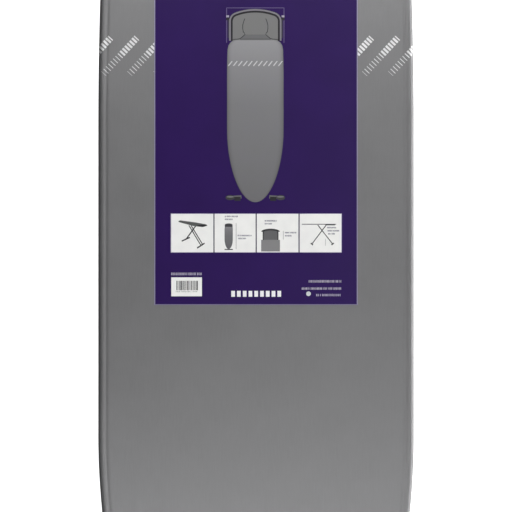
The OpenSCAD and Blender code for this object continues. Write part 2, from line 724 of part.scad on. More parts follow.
tyre_t = 4.5;
tread_r = wheel_r - tyre_t;
web = 5;
hub_r = 7;
rim_r = tread_r - 2.5;
module wheel(side) color(plastic_black) at_wheel(side) rotate([0, 90, 0]) translate([0, 0, -wheel_w / 2])
    rotate_extrude() polygon([
        [wheel_pin_d / 2 + turn_gap, 0], [hub_r, 0], [hub_r, web], [rim_r, web], [rim_r, 1], [tread_r, 1],
        [tread_r, wheel_w - 1], [rim_r, wheel_w - 1], [rim_r, wheel_w - web], [hub_r, wheel_w - web],
        [hub_r, wheel_w], [wheel_pin_d / 2 + turn_gap, wheel_w],
    ]);
module wheel_tyre(side) color(tray_grey) at_wheel(side) rotate([0, 90, 0]) translate([0, 0, -wheel_w / 2])
    rotate_extrude() polygon([
        [tread_r, 1], [wheel_r - 1.5, 1], [wheel_r, 3], [wheel_r, wheel_w - 3], [wheel_r - 1.5, wheel_w - 1],
        [tread_r, wheel_w - 1],
    ]);

// ---------------------------------------------------------------- slide and height lock

module at_carriage() at_board(pivot_z) translate([0, axle_y, 0]) children();

shoe_in = rail_in + shoe_gap;
shoe_out = rail_out - rail_wall - shoe_gap;
shoe_half_h = rail_h / 2 - rail_wall - shoe_gap;
shoe_l = 36;
axle_half = shoe_out - 2;
collar_t = 1.5;
collar_rim = 3;
module slide_axle() color(steel_grey) at_carriage() {
    x_rod(axle_d, 2 * axle_half);
    for (side = [left, right], end = [left, right])
        translate([side * heel_spacing / 2 + end * (head_half_w + side_gap + collar_t / 2), 0, 0])
            x_rod(axle_d + 2 * collar_rim, collar_t);
}
module slide_shoe(side) color(plastic_black) at_carriage() difference() {
    translate([side > 0 ? shoe_in : -shoe_out, -shoe_l / 2, -shoe_half_h])
        cube([shoe_out - shoe_in, shoe_l, 2 * shoe_half_h]);
    x_rod(axle_d, 2 * axle_half);
}

// Places in the housing: the lever stands on its nose side, the squeeze bar on its heel side
lever_y = -12;
lever_pin_x = -13;
lever_pin_d = 6;
eye_half_h = 9.5;
knuckle_r = 5;
lever_room = 2.6;
knuckle_room = 1.2;
squeeze_root = 8;
module lock_housing() color(plastic_black) at_carriage() difference() {
    translate([-housing_w / 2, -housing_l / 2, -housing_below])
        cube([housing_w, housing_l, housing_below + housing_above]);
    x_rod(axle_d, 2 * housing_w);
    translate([0, 0, rod_rise]) rotate([90, 0, 0])
        cylinder(d = rod_d + 2 * turn_gap, h = 2 * housing_l, center = true);
    translate([lever_pin_x, lever_y - lever_t / 2 - lever_room, rod_rise - eye_half_h - 1])
        cube([housing_w, lever_t + 2 * lever_room, housing_w]);
    translate([lever_pin_x, lever_y, rod_rise - eye_half_h - 1])
        cylinder(r = knuckle_r + knuckle_room, h = housing_w);
    translate([lever_pin_x, lever_y, -housing_below / 2]) cylinder(d = lever_pin_d, h = housing_w);
    squeeze_shape();
}
module squeeze_shape() translate([squeeze_root, lever_y + squeeze_gap - lever_t / 2, rod_rise - lever_h / 2])
    cube([lever_l - squeeze_root, lever_t, lever_h]);
module squeeze_bar() color(leg_black) at_carriage() squeeze_shape();

pin_top = housing_above + 7;
pin_cap_t = 1.5;
module lever_pin() color(steel_grey) at_carriage() translate([lever_pin_x, lever_y, 0]) {
    translate([0, 0, -housing_below / 2])
        cylinder(d = lever_pin_d, h = pin_top - pin_cap_t + housing_below / 2 + eps);
    translate([0, 0, pin_top - pin_cap_t]) cylinder(d = 2 * lever_pin_d, h = pin_cap_t);
}

// Torsion spring on the pin: close coils and one straight end that bears on the lever
spring_wire = 1.2;
spring_r = lever_pin_d / 2 + 1.5;
spring_coils = 4;
spring_gap = 0.1;
spring_arm = 20;
spring_z = housing_above + spring_wire / 2 + spring_gap;
module lever_spring() color(steel_grey) at_carriage() translate([lever_pin_x, lever_y, spring_z]) {
    for (i = [0 : spring_coils - 1]) translate([0, 0, i * (spring_wire - spring_gap)]) rotate_extrude()
        translate([spring_r, 0]) circle(d = spring_wire, $fn = 16);
    translate([0, spring_r, 0]) rotate([0, 90, 0]) cylinder(d = spring_wire, h = spring_arm);
}

// The lever: a knuckle on the pin, an eye that jams on the rod when tilted, and a long bar
module lever_blade(x0) translate([x0 - lever_pin_x, -lever_t / 2, -lever_h / 2])
    cube([lever_l - x0, lever_t, lever_h]);
module at_lever() at_carriage() translate([lever_pin_x, lever_y, rod_rise])
    rotate([0, 0, -lock_tilt]) children();
eye_end = 12;
rod_play = 0.2;
module release_lever() color(steel_grey) at_lever() difference() {
    union() {
        translate([0, 0, -eye_half_h]) cylinder(r = knuckle_r, h = 2 * eye_half_h);
        translate([0, -lever_t / 2, -eye_half_h]) cube([eye_end - lever_pin_x, lever_t, 2 * eye_half_h]);
        lever_blade(0);
    }
    translate([0, 0, -2 * eye_half_h]) cylinder(d = lever_pin_d + 2 * turn_gap, h = 4 * eye_half_h);
    translate([-lever_pin_x, 0, 0]) rotate([90, 0, 0])
        cylinder(d = rod_d + 2 * rod_play, h = 2 * knuckle_r, center = true);
}
grip_l = 56;
grip_d = 17;
grip_past = 3;
module lever_grip() color(plastic_black) at_lever() difference() {
    translate([lever_l - lever_pin_x - grip_l, 0, 0]) rotate([0, 90, 0])
        cylinder(d = grip_d, h = grip_l + grip_past);
    lever_blade(0);
}

cover();
hem_elastic();
pad();
mesh_top();
edge_tube();
cross_member(nose_member_y, rail_screw_places);  // nose_cross_member
cross_member(middle_member_y, rail_screw_places);  // middle_cross_member
cross_member(head_y, bracket_screw_places);  // pivot_cross_member
cross_member(heel_member_y, clamp_screw_places, heel_member_half);  // heel_cross_member
rail(left);  // left_rail
rail(right);  // right_rail
rail_screws();
guide_rod();
guide_rod_clips();
pivot_bracket(left);  // left_pivot_bracket
pivot_bracket(right);  // right_pivot_bracket
pivot_bracket_screws();
head_pin();
head_pin_clip();
rest_tube();
rest_tube_clamps();
rest_cross_bars();
rest_tray();
rest_mat();
rest_screws();
display_card();
nose_leg_tube();
nose_leg_head();
nose_foot_socket();
nose_foot_bar();
color(plastic_black) at_nose_leg() foot_cap(left);  // left_nose_foot_cap
color(plastic_black) at_nose_leg() foot_cap(right);  // right_nose_foot_cap
cross_bolt();
cross_bolt_nut();
cross_spacers();
wheel_bracket(left);  // left_wheel_bracket
wheel_bracket(right);  // right_wheel_bracket
wheel_pins();
wheel(left);  // left_wheel
wheel(right);  // right_wheel
wheel_tyre(left);  // left_wheel_tyre
wheel_tyre(right);  // right_wheel_tyre
heel_leg_tube(left);  // left_heel_leg_tube
heel_leg_tube(right);  // right_heel_leg_tube
heel_leg_head(left);  // left_heel_leg_head
heel_leg_head(right);  // right_heel_leg_head
cross_bushes();
heel_leg_brace();
heel_foot_bar();
color(plastic_black) at_heel_leg() foot_cap(left);  // left_heel_foot_cap
color(plastic_black) at_heel_leg() foot_cap(right);  // right_heel_foot_cap
slide_axle();
lock_housing();
slide_shoe(left);  // left_slide_shoe
slide_shoe(right);  // right_slide_shoe
squeeze_bar();
lever_pin();
lever_spring();
release_lever();
lever_grip();
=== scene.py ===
"""Looks of a folding ironing board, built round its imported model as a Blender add-on.

Lengths are in metres in the model's own frame: +Y from the nose to the iron rest, +X to the
right, +Z up, with the origin on the floor. Sizes that the model already holds are read from it.
"""

import bmesh
import bpy
import numpy as np
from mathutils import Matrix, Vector


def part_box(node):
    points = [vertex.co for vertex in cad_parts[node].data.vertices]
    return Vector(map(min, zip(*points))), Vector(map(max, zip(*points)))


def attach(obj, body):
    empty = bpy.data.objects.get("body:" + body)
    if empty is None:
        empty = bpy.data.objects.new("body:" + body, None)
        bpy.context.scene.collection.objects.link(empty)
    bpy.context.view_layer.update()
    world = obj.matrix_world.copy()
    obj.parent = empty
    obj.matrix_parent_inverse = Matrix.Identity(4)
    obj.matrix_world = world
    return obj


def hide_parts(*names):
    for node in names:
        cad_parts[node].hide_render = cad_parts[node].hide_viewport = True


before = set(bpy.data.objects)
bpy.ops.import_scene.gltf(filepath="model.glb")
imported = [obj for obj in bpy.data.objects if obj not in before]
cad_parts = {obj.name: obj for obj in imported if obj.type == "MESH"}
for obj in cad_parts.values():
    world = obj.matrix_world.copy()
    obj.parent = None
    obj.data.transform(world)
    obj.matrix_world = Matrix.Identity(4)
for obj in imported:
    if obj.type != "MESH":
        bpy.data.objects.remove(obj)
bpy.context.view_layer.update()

bl_info = {
    "name": "Ironing board looks",
    "version": (1, 0, 0),
    "blender": (4, 5, 0),
    "location": "View3D > Sidebar > Ironing board",
    "description": "Cover, padding, card, iron rest and finishes of a folding ironing board",
    "category": "Add Mesh",
}

MM = 0.001


def node_box(name):
    """The lowest and the highest corner of one of the model's parts."""
    low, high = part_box(name)
    return np.array(low), np.array(high)


COVER_LOW, COVER_HIGH = node_box("cover")
BOARD_Z = (COVER_LOW[2] + COVER_HIGH[2]) / 2
NOSE_Y, HEEL_Y = COVER_LOW[1], COVER_HIGH[1]
COVER_LENGTH = HEEL_Y - NOSE_Y
COVER_WIDTH = COVER_HIGH[0] - COVER_LOW[0]

# The part of the board's middle line that rings over the whole board shrink to
SPINE = (NOSE_Y + 0.11, HEEL_Y - 0.12)
# Radius of the casing that the hem makes round its cord
CASING_RADIUS = 0.0024
REST_TUBE_RADIUS = 0.008


# ---------------------------------------------------------------- meshes


def mesh_object(name, points, faces, smooth=True):
    """A mesh object of that name from points (n, 3) and faces, an array or a list of index rows."""
    mesh = bpy.data.meshes.new(name)
    mesh.from_pydata(np.asarray(points, float).reshape(-1, 3), [], [list(face) for face in faces])
    mesh.validate()
    mesh.shade_smooth() if smooth else mesh.shade_flat()
    piece = bpy.data.objects.new(name, mesh)
    bpy.context.scene.collection.objects.link(piece)
    return piece


def grid_faces(rows, columns, wrap_rows=False, wrap_columns=False):
    """Quads between neighbours of a rows by columns grid of points numbered row by row."""
    row = np.arange(rows if wrap_rows else rows - 1)
    column = np.arange(columns if wrap_columns else columns - 1)
    r, c = np.meshgrid(row, column, indexing="ij")
    r_next, c_next = (r + 1) % rows, (c + 1) % columns
    corners = [r * columns + c, r * columns + c_next, r_next * columns + c_next, r_next * columns + c]
    return np.stack(corners, -1).reshape(-1, 4)


def rings_object(name, rings):
    """A mesh object of that name from closed rings of points, each joined to the next."""
    return mesh_object(name, rings, grid_faces(*rings.shape[:2], wrap_columns=True))


def finish_piece(piece, material, body, replaced=()):
    """Merges doubled points, points the faces outwards, and gives the piece its finish and body."""
    work = bmesh.new()
    work.from_mesh(piece.data)
    bmesh.ops.remove_doubles(work, verts=work.verts, dist=1e-6)
    bmesh.ops.dissolve_degenerate(work, edges=work.edges, dist=1e-7)
    bmesh.ops.recalc_face_normals(work, faces=work.faces)
    work.to_mesh(piece.data)
    work.free()
    piece.data.materials.append(material)
    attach(piece, body)
    if replaced:
        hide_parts(*replaced)
    return piece


def lathe(profile, sides):
    """Turns a closed profile of (radius, height) rows about Z.

    Point (r, h) goes to (r cos a, r sin a, h) for each of the angles a round the axis.
    """
    angle = np.linspace(0, 2 * np.pi, sides, endpoint=False)
    radius, height = np.asarray(profile, float).T
    x = np.outer(np.cos(angle), radius)
    y = np.outer(np.sin(angle), radius)
    z = np.broadcast_to(height, x.shape)
    faces = grid_faces(sides, len(radius), wrap_rows=True, wrap_columns=True)
    return np.stack([x, y, z], -1), faces


def place(points, origin, axis, across=(0, 0, 1)):
    """Moves points: their Z to lie along axis from origin, their X as near to across as can be."""
    z = np.array(Vector(axis).normalized())
    x = np.array(across, float) - np.dot(across, z) * z
    x /= np.linalg.norm(x)
    basis = np.stack([x, np.cross(z, x), z])
    return np.asarray(points).reshape(-1, 3) @ basis + np.array(origin)


def sweep(path, radius, sides, up=(0, 0, 1), closed=False):
    """A round tube along a path. Each path point carries a ring square to the path there."""
    path = np.asarray(path, float)
    ahead, behind = np.roll(path, -1, 0), np.roll(path, 1, 0)
    if not closed:
        ahead[-1], behind[0] = path[-1], path[0]
    along = ahead - behind
    along /= np.linalg.norm(along, axis=1, keepdims=True)
    side = np.cross(along, up)
    side /= np.linalg.norm(side, axis=1, keepdims=True)
    top = np.cross(side, along)
    angle = np.linspace(0, 2 * np.pi, sides, endpoint=False)[None, :, None]
    ring = side[:, None] * np.cos(angle) + top[:, None] * np.sin(angle)
    radius = np.broadcast_to(np.asarray(radius, float).reshape(-1, 1, 1), (len(path), 1, 1))
    points = (path[:, None] + radius * ring).reshape(-1, 3)
    faces = [list(face) for face in grid_faces(len(path), sides, closed, True)]
    if not closed:
        last = (len(path) - 1) * sides
        faces += [list(range(sides))[::-1], list(range(last, last + sides))]
    return points, faces


# ---------------------------------------------------------------- the board's outline


def half_width(n, shape):
    """Half the cover's width at a distance n behind the nose tip.

    The nose is W sqrt(1 - (1 - t) ^ p) for t from 0 at the tip to 1, the sides draw in as a
    parabola from taper_from to the heel, and each heel corner is a quarter of an ellipse.
    """
    t = np.clip(n / shape.nose_length, 0, 1)
    nose = COVER_WIDTH / 2 * np.sqrt(1 - (1 - t) ** shape.nose_power)
    taper = np.clip(n - shape.taper_from, 0, None) / (COVER_LENGTH - shape.taper_from)
    e = np.clip((n - COVER_LENGTH + shape.corner_length) / shape.corner_length, 0, 1)
    return nose - shape.heel_taper * taper**2 - shape.corner_width * (1 - np.sqrt(1 - e**2))


def outline(shape, count):
    """The cover's edge as evenly spaced points, anticlockwise from the nose tip.

    Returns the points, their outward normals and their distances along the edge.
    """
    turn = np.linspace(0, np.pi / 2, 400)
    n = np.unique(np.concatenate([
        shape.nose_length * (1 - np.cos(turn)),
        np.linspace(shape.nose_length, COVER_LENGTH - shape.corner_length, 60),
        COVER_LENGTH - shape.corner_length * (1 - np.sin(turn)),
    ]))
    right = np.stack([half_width(n, shape), NOSE_Y + n], 1)
    heel = np.stack([np.linspace(right[-1, 0], 0, 60), np.full(60, HEEL_Y)], 1)[1:]
    half = np.concatenate([right, heel])
    loop = np.concatenate([half, half[-2:0:-1] * [-1, 1]])
    closed = np.vstack([loop, loop[:1]])
    length = np.concatenate([[0], np.cumsum(np.linalg.norm(np.diff(closed, axis=0), axis=1))])
    even = np.linspace(0, length[-1], count, endpoint=False)
    points = np.stack([np.interp(even, length, closed[:, k]) for k in (0, 1)], 1)
    along = np.roll(points, -1, 0) - np.roll(points, 1, 0)
    along /= np.linalg.norm(along, axis=1, keepdims=True)
    return points, np.stack([along[:, 1], -along[:, 0]], 1), even


# ---------------------------------------------------------------- finishes


class Finish:
    """One material's node tree. Calls add nodes and return the socket that carries the result."""

    def __init__(self, name, colour, roughness, metallic=0.0, **shader_values):
        self.material = bpy.data.materials.new(name)
        self.material.use_nodes = True
        self.tree = self.material.node_tree
        self.shader = self.tree.nodes["Principled BSDF"]
        self.shader.inputs["Base Color"].default_value = (*colour, 1)
        self.shader.inputs["Roughness"].default_value = roughness
        self.shader.inputs["Metallic"].default_value = metallic
        for key, value in shader_values.items():
            socket = key.replace("_", " ").title().replace("Ior", "IOR")
            self.shader.inputs[socket].default_value = value
        self.place = self.add("ShaderNodeTexCoord").outputs["Object"]

    def add(self, kind, **settings):
        node = self.tree.nodes.new(kind)
        for key, value in settings.items():
            setattr(node, key, value)
        return node

    def feed(self, node, **inputs):
        """Links or sets a node's inputs, given by name or, as in _2, by number."""
        for key, value in inputs.items():
            socket = node.inputs[int(key[1:]) if key[1:].isdigit() else key.replace("_", " ")]
            if isinstance(value, bpy.types.NodeSocket):
                self.tree.links.new(value, socket)
            else:
                socket.default_value = value
        return node

    def noise(self, pitch, detail=2.0, stretch=(1, 1, 1)):
        """Noise whose blobs are about pitch metres across, drawn out by stretch."""
        scale = tuple(1 / s for s in stretch)
        mapping = self.feed(self.add("ShaderNodeMapping"), Vector=self.place, Scale=scale)
        node = self.add("ShaderNodeTexNoise")
        self.feed(node, Vector=mapping.outputs[0], Scale=1 / pitch, Detail=detail)
        return node.outputs["Fac"]

    def cells(self, pitch):
        """Distance to the nearest of points about pitch metres apart."""
        node = self.add("ShaderNodeTexVoronoi")
        return self.feed(node, Vector=self.place, Scale=1 / pitch).outputs["Distance"]

    def math(self, operation, first, second=0.0, third=0.0):
        node = self.add("ShaderNodeMath", operation=operation)
        return self.feed(node, _0=first, _1=second, _2=third).outputs[0]

    def axes(self):
        """The place across and along the board."""
        parts = self.feed(self.add("ShaderNodeSeparateXYZ"), _0=self.place)
        return parts.outputs[0], parts.outputs[1]

    def waves(self, value, pitch, shift=0.0):
        """Sine of a length, once in each pitch."""
        turned = self.math("MULTIPLY_ADD", value, 2 * np.pi / pitch, shift)
        return self.math("SINE", turned)

    def span(self, value, low, high, to_low=0.0, to_high=1.0):
        """Maps low to high onto to_low to to_high, and holds it there outside."""
        node = self.add("ShaderNodeMapRange", clamp=True)
        self.feed(node, _0=value, _1=low, _2=high, _3=to_low, _4=to_high)
        return node.outputs[0]

    def mix(self, share, first, second):
        """A colour between two colours."""
        node = self.add("ShaderNodeMix", data_type="RGBA")
        first, second = ((*c, 1) if isinstance(c, tuple) else c for c in (first, second))
        return self.feed(node, _0=share, _6=first, _7=second).outputs[2]

    def tones(self, pattern, low, high, colour, dark, light):
        """The colour times dark where the pattern is at low, times light where it is at high."""
        return self.mix(self.span(pattern, low, high), shade(colour, dark), shade(colour, light))

    def colour(self, socket):
        self.feed(self.shader, Base_Color=socket)

    def roughness(self, socket):
        self.feed(self.shader, Roughness=socket)

    def bump(self, height, depth, strength=1.0):
        """Relief of that depth in metres. Several calls add up."""
        node = self.feed(self.add("ShaderNodeBump"), Height=height, Distance=depth, Strength=strength)
        before = self.shader.inputs["Normal"].links
        if before:
            self.feed(node, Normal=before[0].from_socket)
        self.feed(self.shader, Normal=node.outputs[0])


def shade(colour, factor):
    """A colour made lighter or darker."""
    return tuple(float(np.clip(c * factor, 0, 1)) for c in colour)


def weave(finish, x, y, pitch):
    """Twill: two sets of threads, each shifted half a pitch from row to row."""
    warp = finish.waves(finish.math("ADD", x, finish.math("MULTIPLY", y, 0.5)), pitch)
    weft = finish.waves(finish.math("SUBTRACT", y, finish.math("MULTIPLY", x, 0.5)), pitch)
    return finish.math("MULTIPLY", warp, weft)


def cover_fabric(colours, shape):
    """Grey metallised cotton with one printed band of slanting dashes."""
    base = tuple(colours.cloth)
    cloth = Finish("cover_fabric", base, 0.45, 0.6, sheen_weight=0.02, sheen_roughness=0.4)
    x, y = cloth.axes()
    threads = weave(cloth, x, y, 1.1 * MM)
    mottle = cloth.noise(45 * MM, 3)
    slub = cloth.noise(1.6 * MM, 2, (1, 14, 1))
    tone = cloth.tones(mottle, 0.35, 0.65, base, 0.965, 1.03)
    tone = cloth.mix(cloth.span(slub, 0.3, 0.75, 0, 0.35), tone, shade(base, 1.12))
    tone = cloth.mix(cloth.span(threads, -1, 1, 0.0, 0.12), tone, shade(base, 0.7))
    ink = printed_band(cloth, shape, x, y)
    cloth.colour(cloth.mix(ink, tone, tuple(colours.print_ink)))
    cloth.roughness(cloth.span(mottle, 0.3, 0.7, 0.42, 0.5))
    cloth.bump(threads, 0.12 * MM, 0.5)
    cloth.bump(slub, 0.2 * MM, 0.25)
    cloth.bump(cloth.noise(8 * MM, 3), 0.3 * MM, 0.12)
    return cloth.material


def printed_band(cloth, shape, x, y):
    """1 on the band's slanting marks and 0 elsewhere.

    A mark is a row of plain strokes square to its slope, which get wider past its middle. Across
    the board the marks repeat: the distance to the nearest mark's middle line is a folded ramp.
    """
    slope, pitch, step = shape.band_slant, shape.band_pitch, shape.band_step
    rise = float(np.sin(slope))
    above = cloth.math("SUBTRACT", y, float(HEEL_Y - shape.band_from_heel))
    run = cloth.math("SUBTRACT", x, cloth.math("DIVIDE", above, float(np.tan(slope))))
    shifted = cloth.math("ADD", run, float(60 * pitch - shape.band_start))
    off = cloth.math("MULTIPLY", cloth.math("PINGPONG", shifted, pitch / 2), rise)
    bar = cloth.math("LESS_THAN", off, shape.band_stroke / 2)

    signed = cloth.math("SUBTRACT", run, shape.band_start)
    nearest = cloth.math("SNAP", cloth.math("ADD", signed, pitch / 2), pitch)
    turn = cloth.math("MULTIPLY", cloth.math("SUBTRACT", signed, nearest), float(np.cos(slope)))
    along = cloth.math("ADD", cloth.math("DIVIDE", above, rise), turn)
    inside = cloth.math("LESS_THAN", cloth.math("ABSOLUTE", along), shape.band_length / 2)

    wave = cloth.math("PINGPONG", cloth.math("ADD", along, 20 * step), step / 2)
    share = cloth.span(along, -0.001, 0.004, 0.2 * step / 2, 0.62 * step / 2)
    stroke = cloth.math("LESS_THAN", wave, share)
    return cloth.math("MULTIPLY", cloth.math("MULTIPLY", bar, inside), stroke)


def felt(colour):
    """Needled felt: matted fibres over soft lumps."""
    pad = Finish("padding_felt", colour, 0.95, sheen_weight=0.3)
    fibres = pad.noise(0.8 * MM, 4, (1, 5, 1))
    lumps = pad.noise(9 * MM, 3)
    pad.colour(pad.tones(lumps, 0.3, 0.7, colour, 0.86, 1.06))
    pad.bump(fibres, 0.5 * MM, 0.6)
    pad.bump(lumps, 1.5 * MM, 0.3)
    return pad.material


def powder_coat(name, colour, roughness=0.38):
    """Baked paint: a fine orange peel, faint dust and a few dull rubs."""
    coat = {"specular_ior_level": 0.5, "coat_weight": 0.15, "coat_roughness": 0.25}
    paint = Finish(name, colour, roughness, **coat)
    peel = paint.noise(1.4 * MM, 2)
    rubs = paint.noise(30 * MM, 4)
    dust = paint.noise(6 * MM, 5)
    tone = paint.mix(paint.span(rubs, 0.4, 0.75), colour, shade(colour, 1.35))
    paint.colour(paint.mix(paint.span(dust, 0.62, 0.9, 0, 0.25), tone, shade(colour, 1.8)))
    paint.roughness(paint.span(rubs, 0.3, 0.75, roughness - 0.05, roughness + 0.14))
    paint.bump(peel, 0.04 * MM, 0.2)
    return paint.material


def zinc_plate(name, colour, roughness=0.3):
    """Plated steel: drawn lines and clouded patches."""
    steel = Finish(name, colour, roughness, 1.0)
    lines = steel.noise(0.5 * MM, 2, (30, 1, 1))
    clouds = steel.noise(14 * MM, 3)
    steel.colour(steel.tones(clouds, 0.3, 0.7, colour, 0.82, 1.08))
    steel.roughness(steel.span(clouds, 0.3, 0.75, roughness - 0.08, roughness + 0.16))
    steel.bump(lines, 0.03 * MM, 0.3)
    return steel.material


def moulded(name, colour, roughness=0.5, grain=0.7 * MM, depth=0.08 * MM):
    """Moulded plastic with a spark-eroded grain."""
    plastic = Finish(name, colour, roughness, specular_ior_level=0.45)
    skin = plastic.cells(grain)
    clouds = plastic.noise(25 * MM, 3)
    plastic.colour(plastic.tones(clouds, 0.3, 0.7, colour, 0.92, 1.1))
    plastic.roughness(plastic.span(skin, 0, 0.7, roughness - 0.04, roughness + 0.1))
    plastic.bump(skin, depth, 0.5)
    return plastic.material


def braid(name, colour):
    """Braided thread: two sets of slanting strands that cross, with painted shade between them and
    painted light on their tops.
    """
    cord = Finish(name, colour, 0.8, sheen_weight=0.2)
    x, y = cord.axes()
    run, pitch = cord.math("ADD", x, y), 1.3 * MM
    strands = cord.waves(run, pitch), cord.waves(cord.math("SUBTRACT", y, x), pitch)
    strands = cord.math("MULTIPLY", *strands)
    # Painted shade and light: the colour is darker in the low places between the strands and lighter on
    # their raised tops.
    cord.colour(cord.tones(strands, -1, 1, colour, 0.6, 1.1))
    cord.bump(strands, 0.2 * MM, 0.6)
    return cord.material


def printed_ink(name):
    """Ink under the card's varnish: each shape's own colour, a little uneven."""
    ink = Finish(name, (0.5, 0.5, 0.5), 0.42, specular_ior_level=0.4)
    own = ink.add("ShaderNodeAttribute", attribute_name="ink").outputs["Color"]
    patchy = ink.span(ink.noise(18 * MM, 3), 0.3, 0.7, 0, 0.08)
    ink.colour(ink.mix(patchy, own, (0.2, 0.18, 0.26)))
    ink.bump(ink.noise(1.2 * MM, 3, (1, 3, 1)), 0.02 * MM, 0.3)
    return ink.material


def soft_rubber(name, colour):
    """Rubber: dull, with a dusty bloom."""
    rubber = Finish(name, colour, 0.82, specular_ior_level=0.3)
    bloom = rubber.noise(7 * MM, 5)
    rubber.colour(rubber.tones(bloom, 0.35, 0.8, colour, 0.95, 1.15))
    rubber.bump(rubber.noise(0.6 * MM, 3), 0.1 * MM, 0.4)
    return rubber.material


def card_stock(name, colour):
    """Printed board under a satin varnish, with fibres just showing."""
    card = Finish(name, colour, 0.42, specular_ior_level=0.2)
    fibres = card.noise(1.2 * MM, 3, (1, 3, 1))
    ink = card.noise(60 * MM, 2)
    card.colour(card.tones(ink, 0.3, 0.7, colour, 0.94, 1.06))
    card.bump(fibres, 0.03 * MM, 0.3)
    return card.material


FINISHES = {}


def finish(name):
    """The made finish of that name."""
    return FINISHES[name]


# ---------------------------------------------------------------- sizes and colours


def number(name, description, default, **kind):
    return bpy.props.FloatProperty(name=name, description=description, default=default, **kind)


def length(name, description, default):
    return number(name, description, default, unit="LENGTH", precision=4)


def colour(name, description, default):
    return bpy.props.FloatVectorProperty(
        name=name, description=description, default=default, subtype="COLOR", min=0, max=1)


class IronboardCover(bpy.types.PropertyGroup):
    """Sizes of the fabric cover, its outline and its printed band."""

    nose_length: length("Nose length", "Length over which the nose narrows", 0.520)
    nose_power: number("Nose fullness", "Power in the nose curve", 1.8)
    corner_length: length("Corner length", "Length of a rounded heel corner", 0.068)
    corner_width: length("Corner width", "Width of a rounded heel corner", 0.054)
    taper_from: length("Taper start", "Distance from the nose at which the sides draw in", 0.930)
    heel_taper: length("Heel taper", "How much each side has drawn in at the heel", 0.0065)
    thickness: length("Cloth thickness", "Thickness of the cloth", 0.001)
    roll: length("Edge roll", "Half the height of the rolled edge, outside the cloth", 0.0095)
    roll_width: length("Edge roll width", "Distance of the rolled edge's crest from the edge", 0.0074)
    groove: length("Edge groove", "Depth of the dip between the rolled edge and the padding", 0.0008)
    hem: length("Hem", "Distance of the hem cord from the edge", 0.027)
    pucker: length("Puckers", "Height of the hem's gathers", 0.0017)
    band_from_heel: length("Band place", "Distance of the printed band's middle from the heel", 0.1744)
    band_length: length("Mark length", "Length of one slanting mark", 0.0644)
    band_pitch: length("Mark pitch", "Distance between marks across the board", 0.0344)
    band_start: length("Mark start", "Place of one mark's middle across the board", -0.1790)
    band_stroke: length("Mark width", "Width of one slanting mark", 0.0086)
    band_step: length("Stroke step", "Distance between the strokes along one mark", 0.0046)
    band_slant: number("Slant", "Slope of the marks from straight across", 0.8255, subtype="ANGLE")


class IronboardRest(bpy.types.PropertyGroup):
    """Sizes of the iron rest."""

    bend: length("Shoulder bend", "Radius of the tube's shoulder bends", 0.060)
    arch: length("Arch", "Radius of the tube's arch", 0.420)
    root: length("Tube root", "Distance of the tube's ends from the heel, under the cover", 0.145)
    gap: length("Tray gap", "Gap between the tube and the tray", 0.006)
    wing: length("Wing height", "Height of the tray's two wings over its middle", 0.0022)
    groove: length("Groove depth", "Depth of the grooves beside the mat", 0.0024)
    wall: length("Tray wall", "Wall of the moulded tray", 0.003)


class IronboardColours(bpy.types.PropertyGroup):
    """Colours of the finishes."""

    cloth: colour("Cloth", "Metallised cotton of the cover", (0.205, 0.205, 0.209))
    print_ink: colour("Band ink", "Ink of the cover's printed band", (0.72, 0.72, 0.73))
    felt: colour("Felt", "Padding", (0.62, 0.61, 0.57))
    cord: colour("Hem cord", "Elastic cord in the hem", (0.5, 0.5, 0.5))
    card: colour("Card", "Ground colour of the display card", (0.0225, 0.0058, 0.085))
    paint: colour("Frame paint", "Powder coat on the steel frame", (0.028, 0.028, 0.029))
    mesh: colour("Mesh paint", "Paint on the mesh sheet", (0.09, 0.09, 0.095))
    zinc: colour("Zinc", "Plated fasteners and rods", (0.62, 0.63, 0.65))
    plastic: colour("Black plastic", "Moulded caps, heads and shoes", (0.016, 0.016, 0.017))
    tray: colour("Tray", "Moulded tray of the iron rest", (0.17, 0.17, 0.172))
    mat: colour("Heat mat", "Silicone mat on the iron rest", (0.145, 0.145, 0.148))
    tyre: colour("Tyre", "Tyres of the transport wheels", (0.06, 0.06, 0.062))


class IronboardStage(bpy.types.PropertyGroup):
    """Camera, floor and lights."""

    camera_height: length("Camera height", "Height of the camera over the ironing surface", 1.875)
    camera_y: length("Camera place", "Place of the camera along the board", 0.0466)
    lens: number("Lens", "Focal length", 100, unit="CAMERA")
    sky: number("Sky", "World light from above, on top of the light from all round", 0.02)
    horizon: number("Horizon", "World light from all round", 0.016)
    key: number("Main light", "Power of the main light, upper right", 12.5)
    strip: number("Side strip", "Power of the low strip light", 40)
    ends: number("End lights", "Power of the end lights", 15)
    floor: number("Floor glow", "Light that the white floor gives off", 0.85)


GROUPS = {
    "ironboard_cover": IronboardCover,
    "ironboard_rest": IronboardRest,
    "ironboard_colours": IronboardColours,
    "ironboard_stage": IronboardStage,
}


# ---------------------------------------------------------------- stage


def aim(thing, place, target):
    thing.location = place
    thing.rotation_euler = (Vector(target) - Vector(place)).to_track_quat("-Z", "Y").to_euler()


def area_light(name, power, size_x, size_y, place, target):
    light = bpy.data.lights.new(name, "AREA")
    light.shape, light.size, light.size_y, light.energy = "RECTANGLE", size_x, size_y, power
    lamp = bpy.data.objects.new(name, light)
    aim(lamp, place, target)
    bpy.context.scene.collection.objects.link(lamp)
    lamp.visible_camera = False


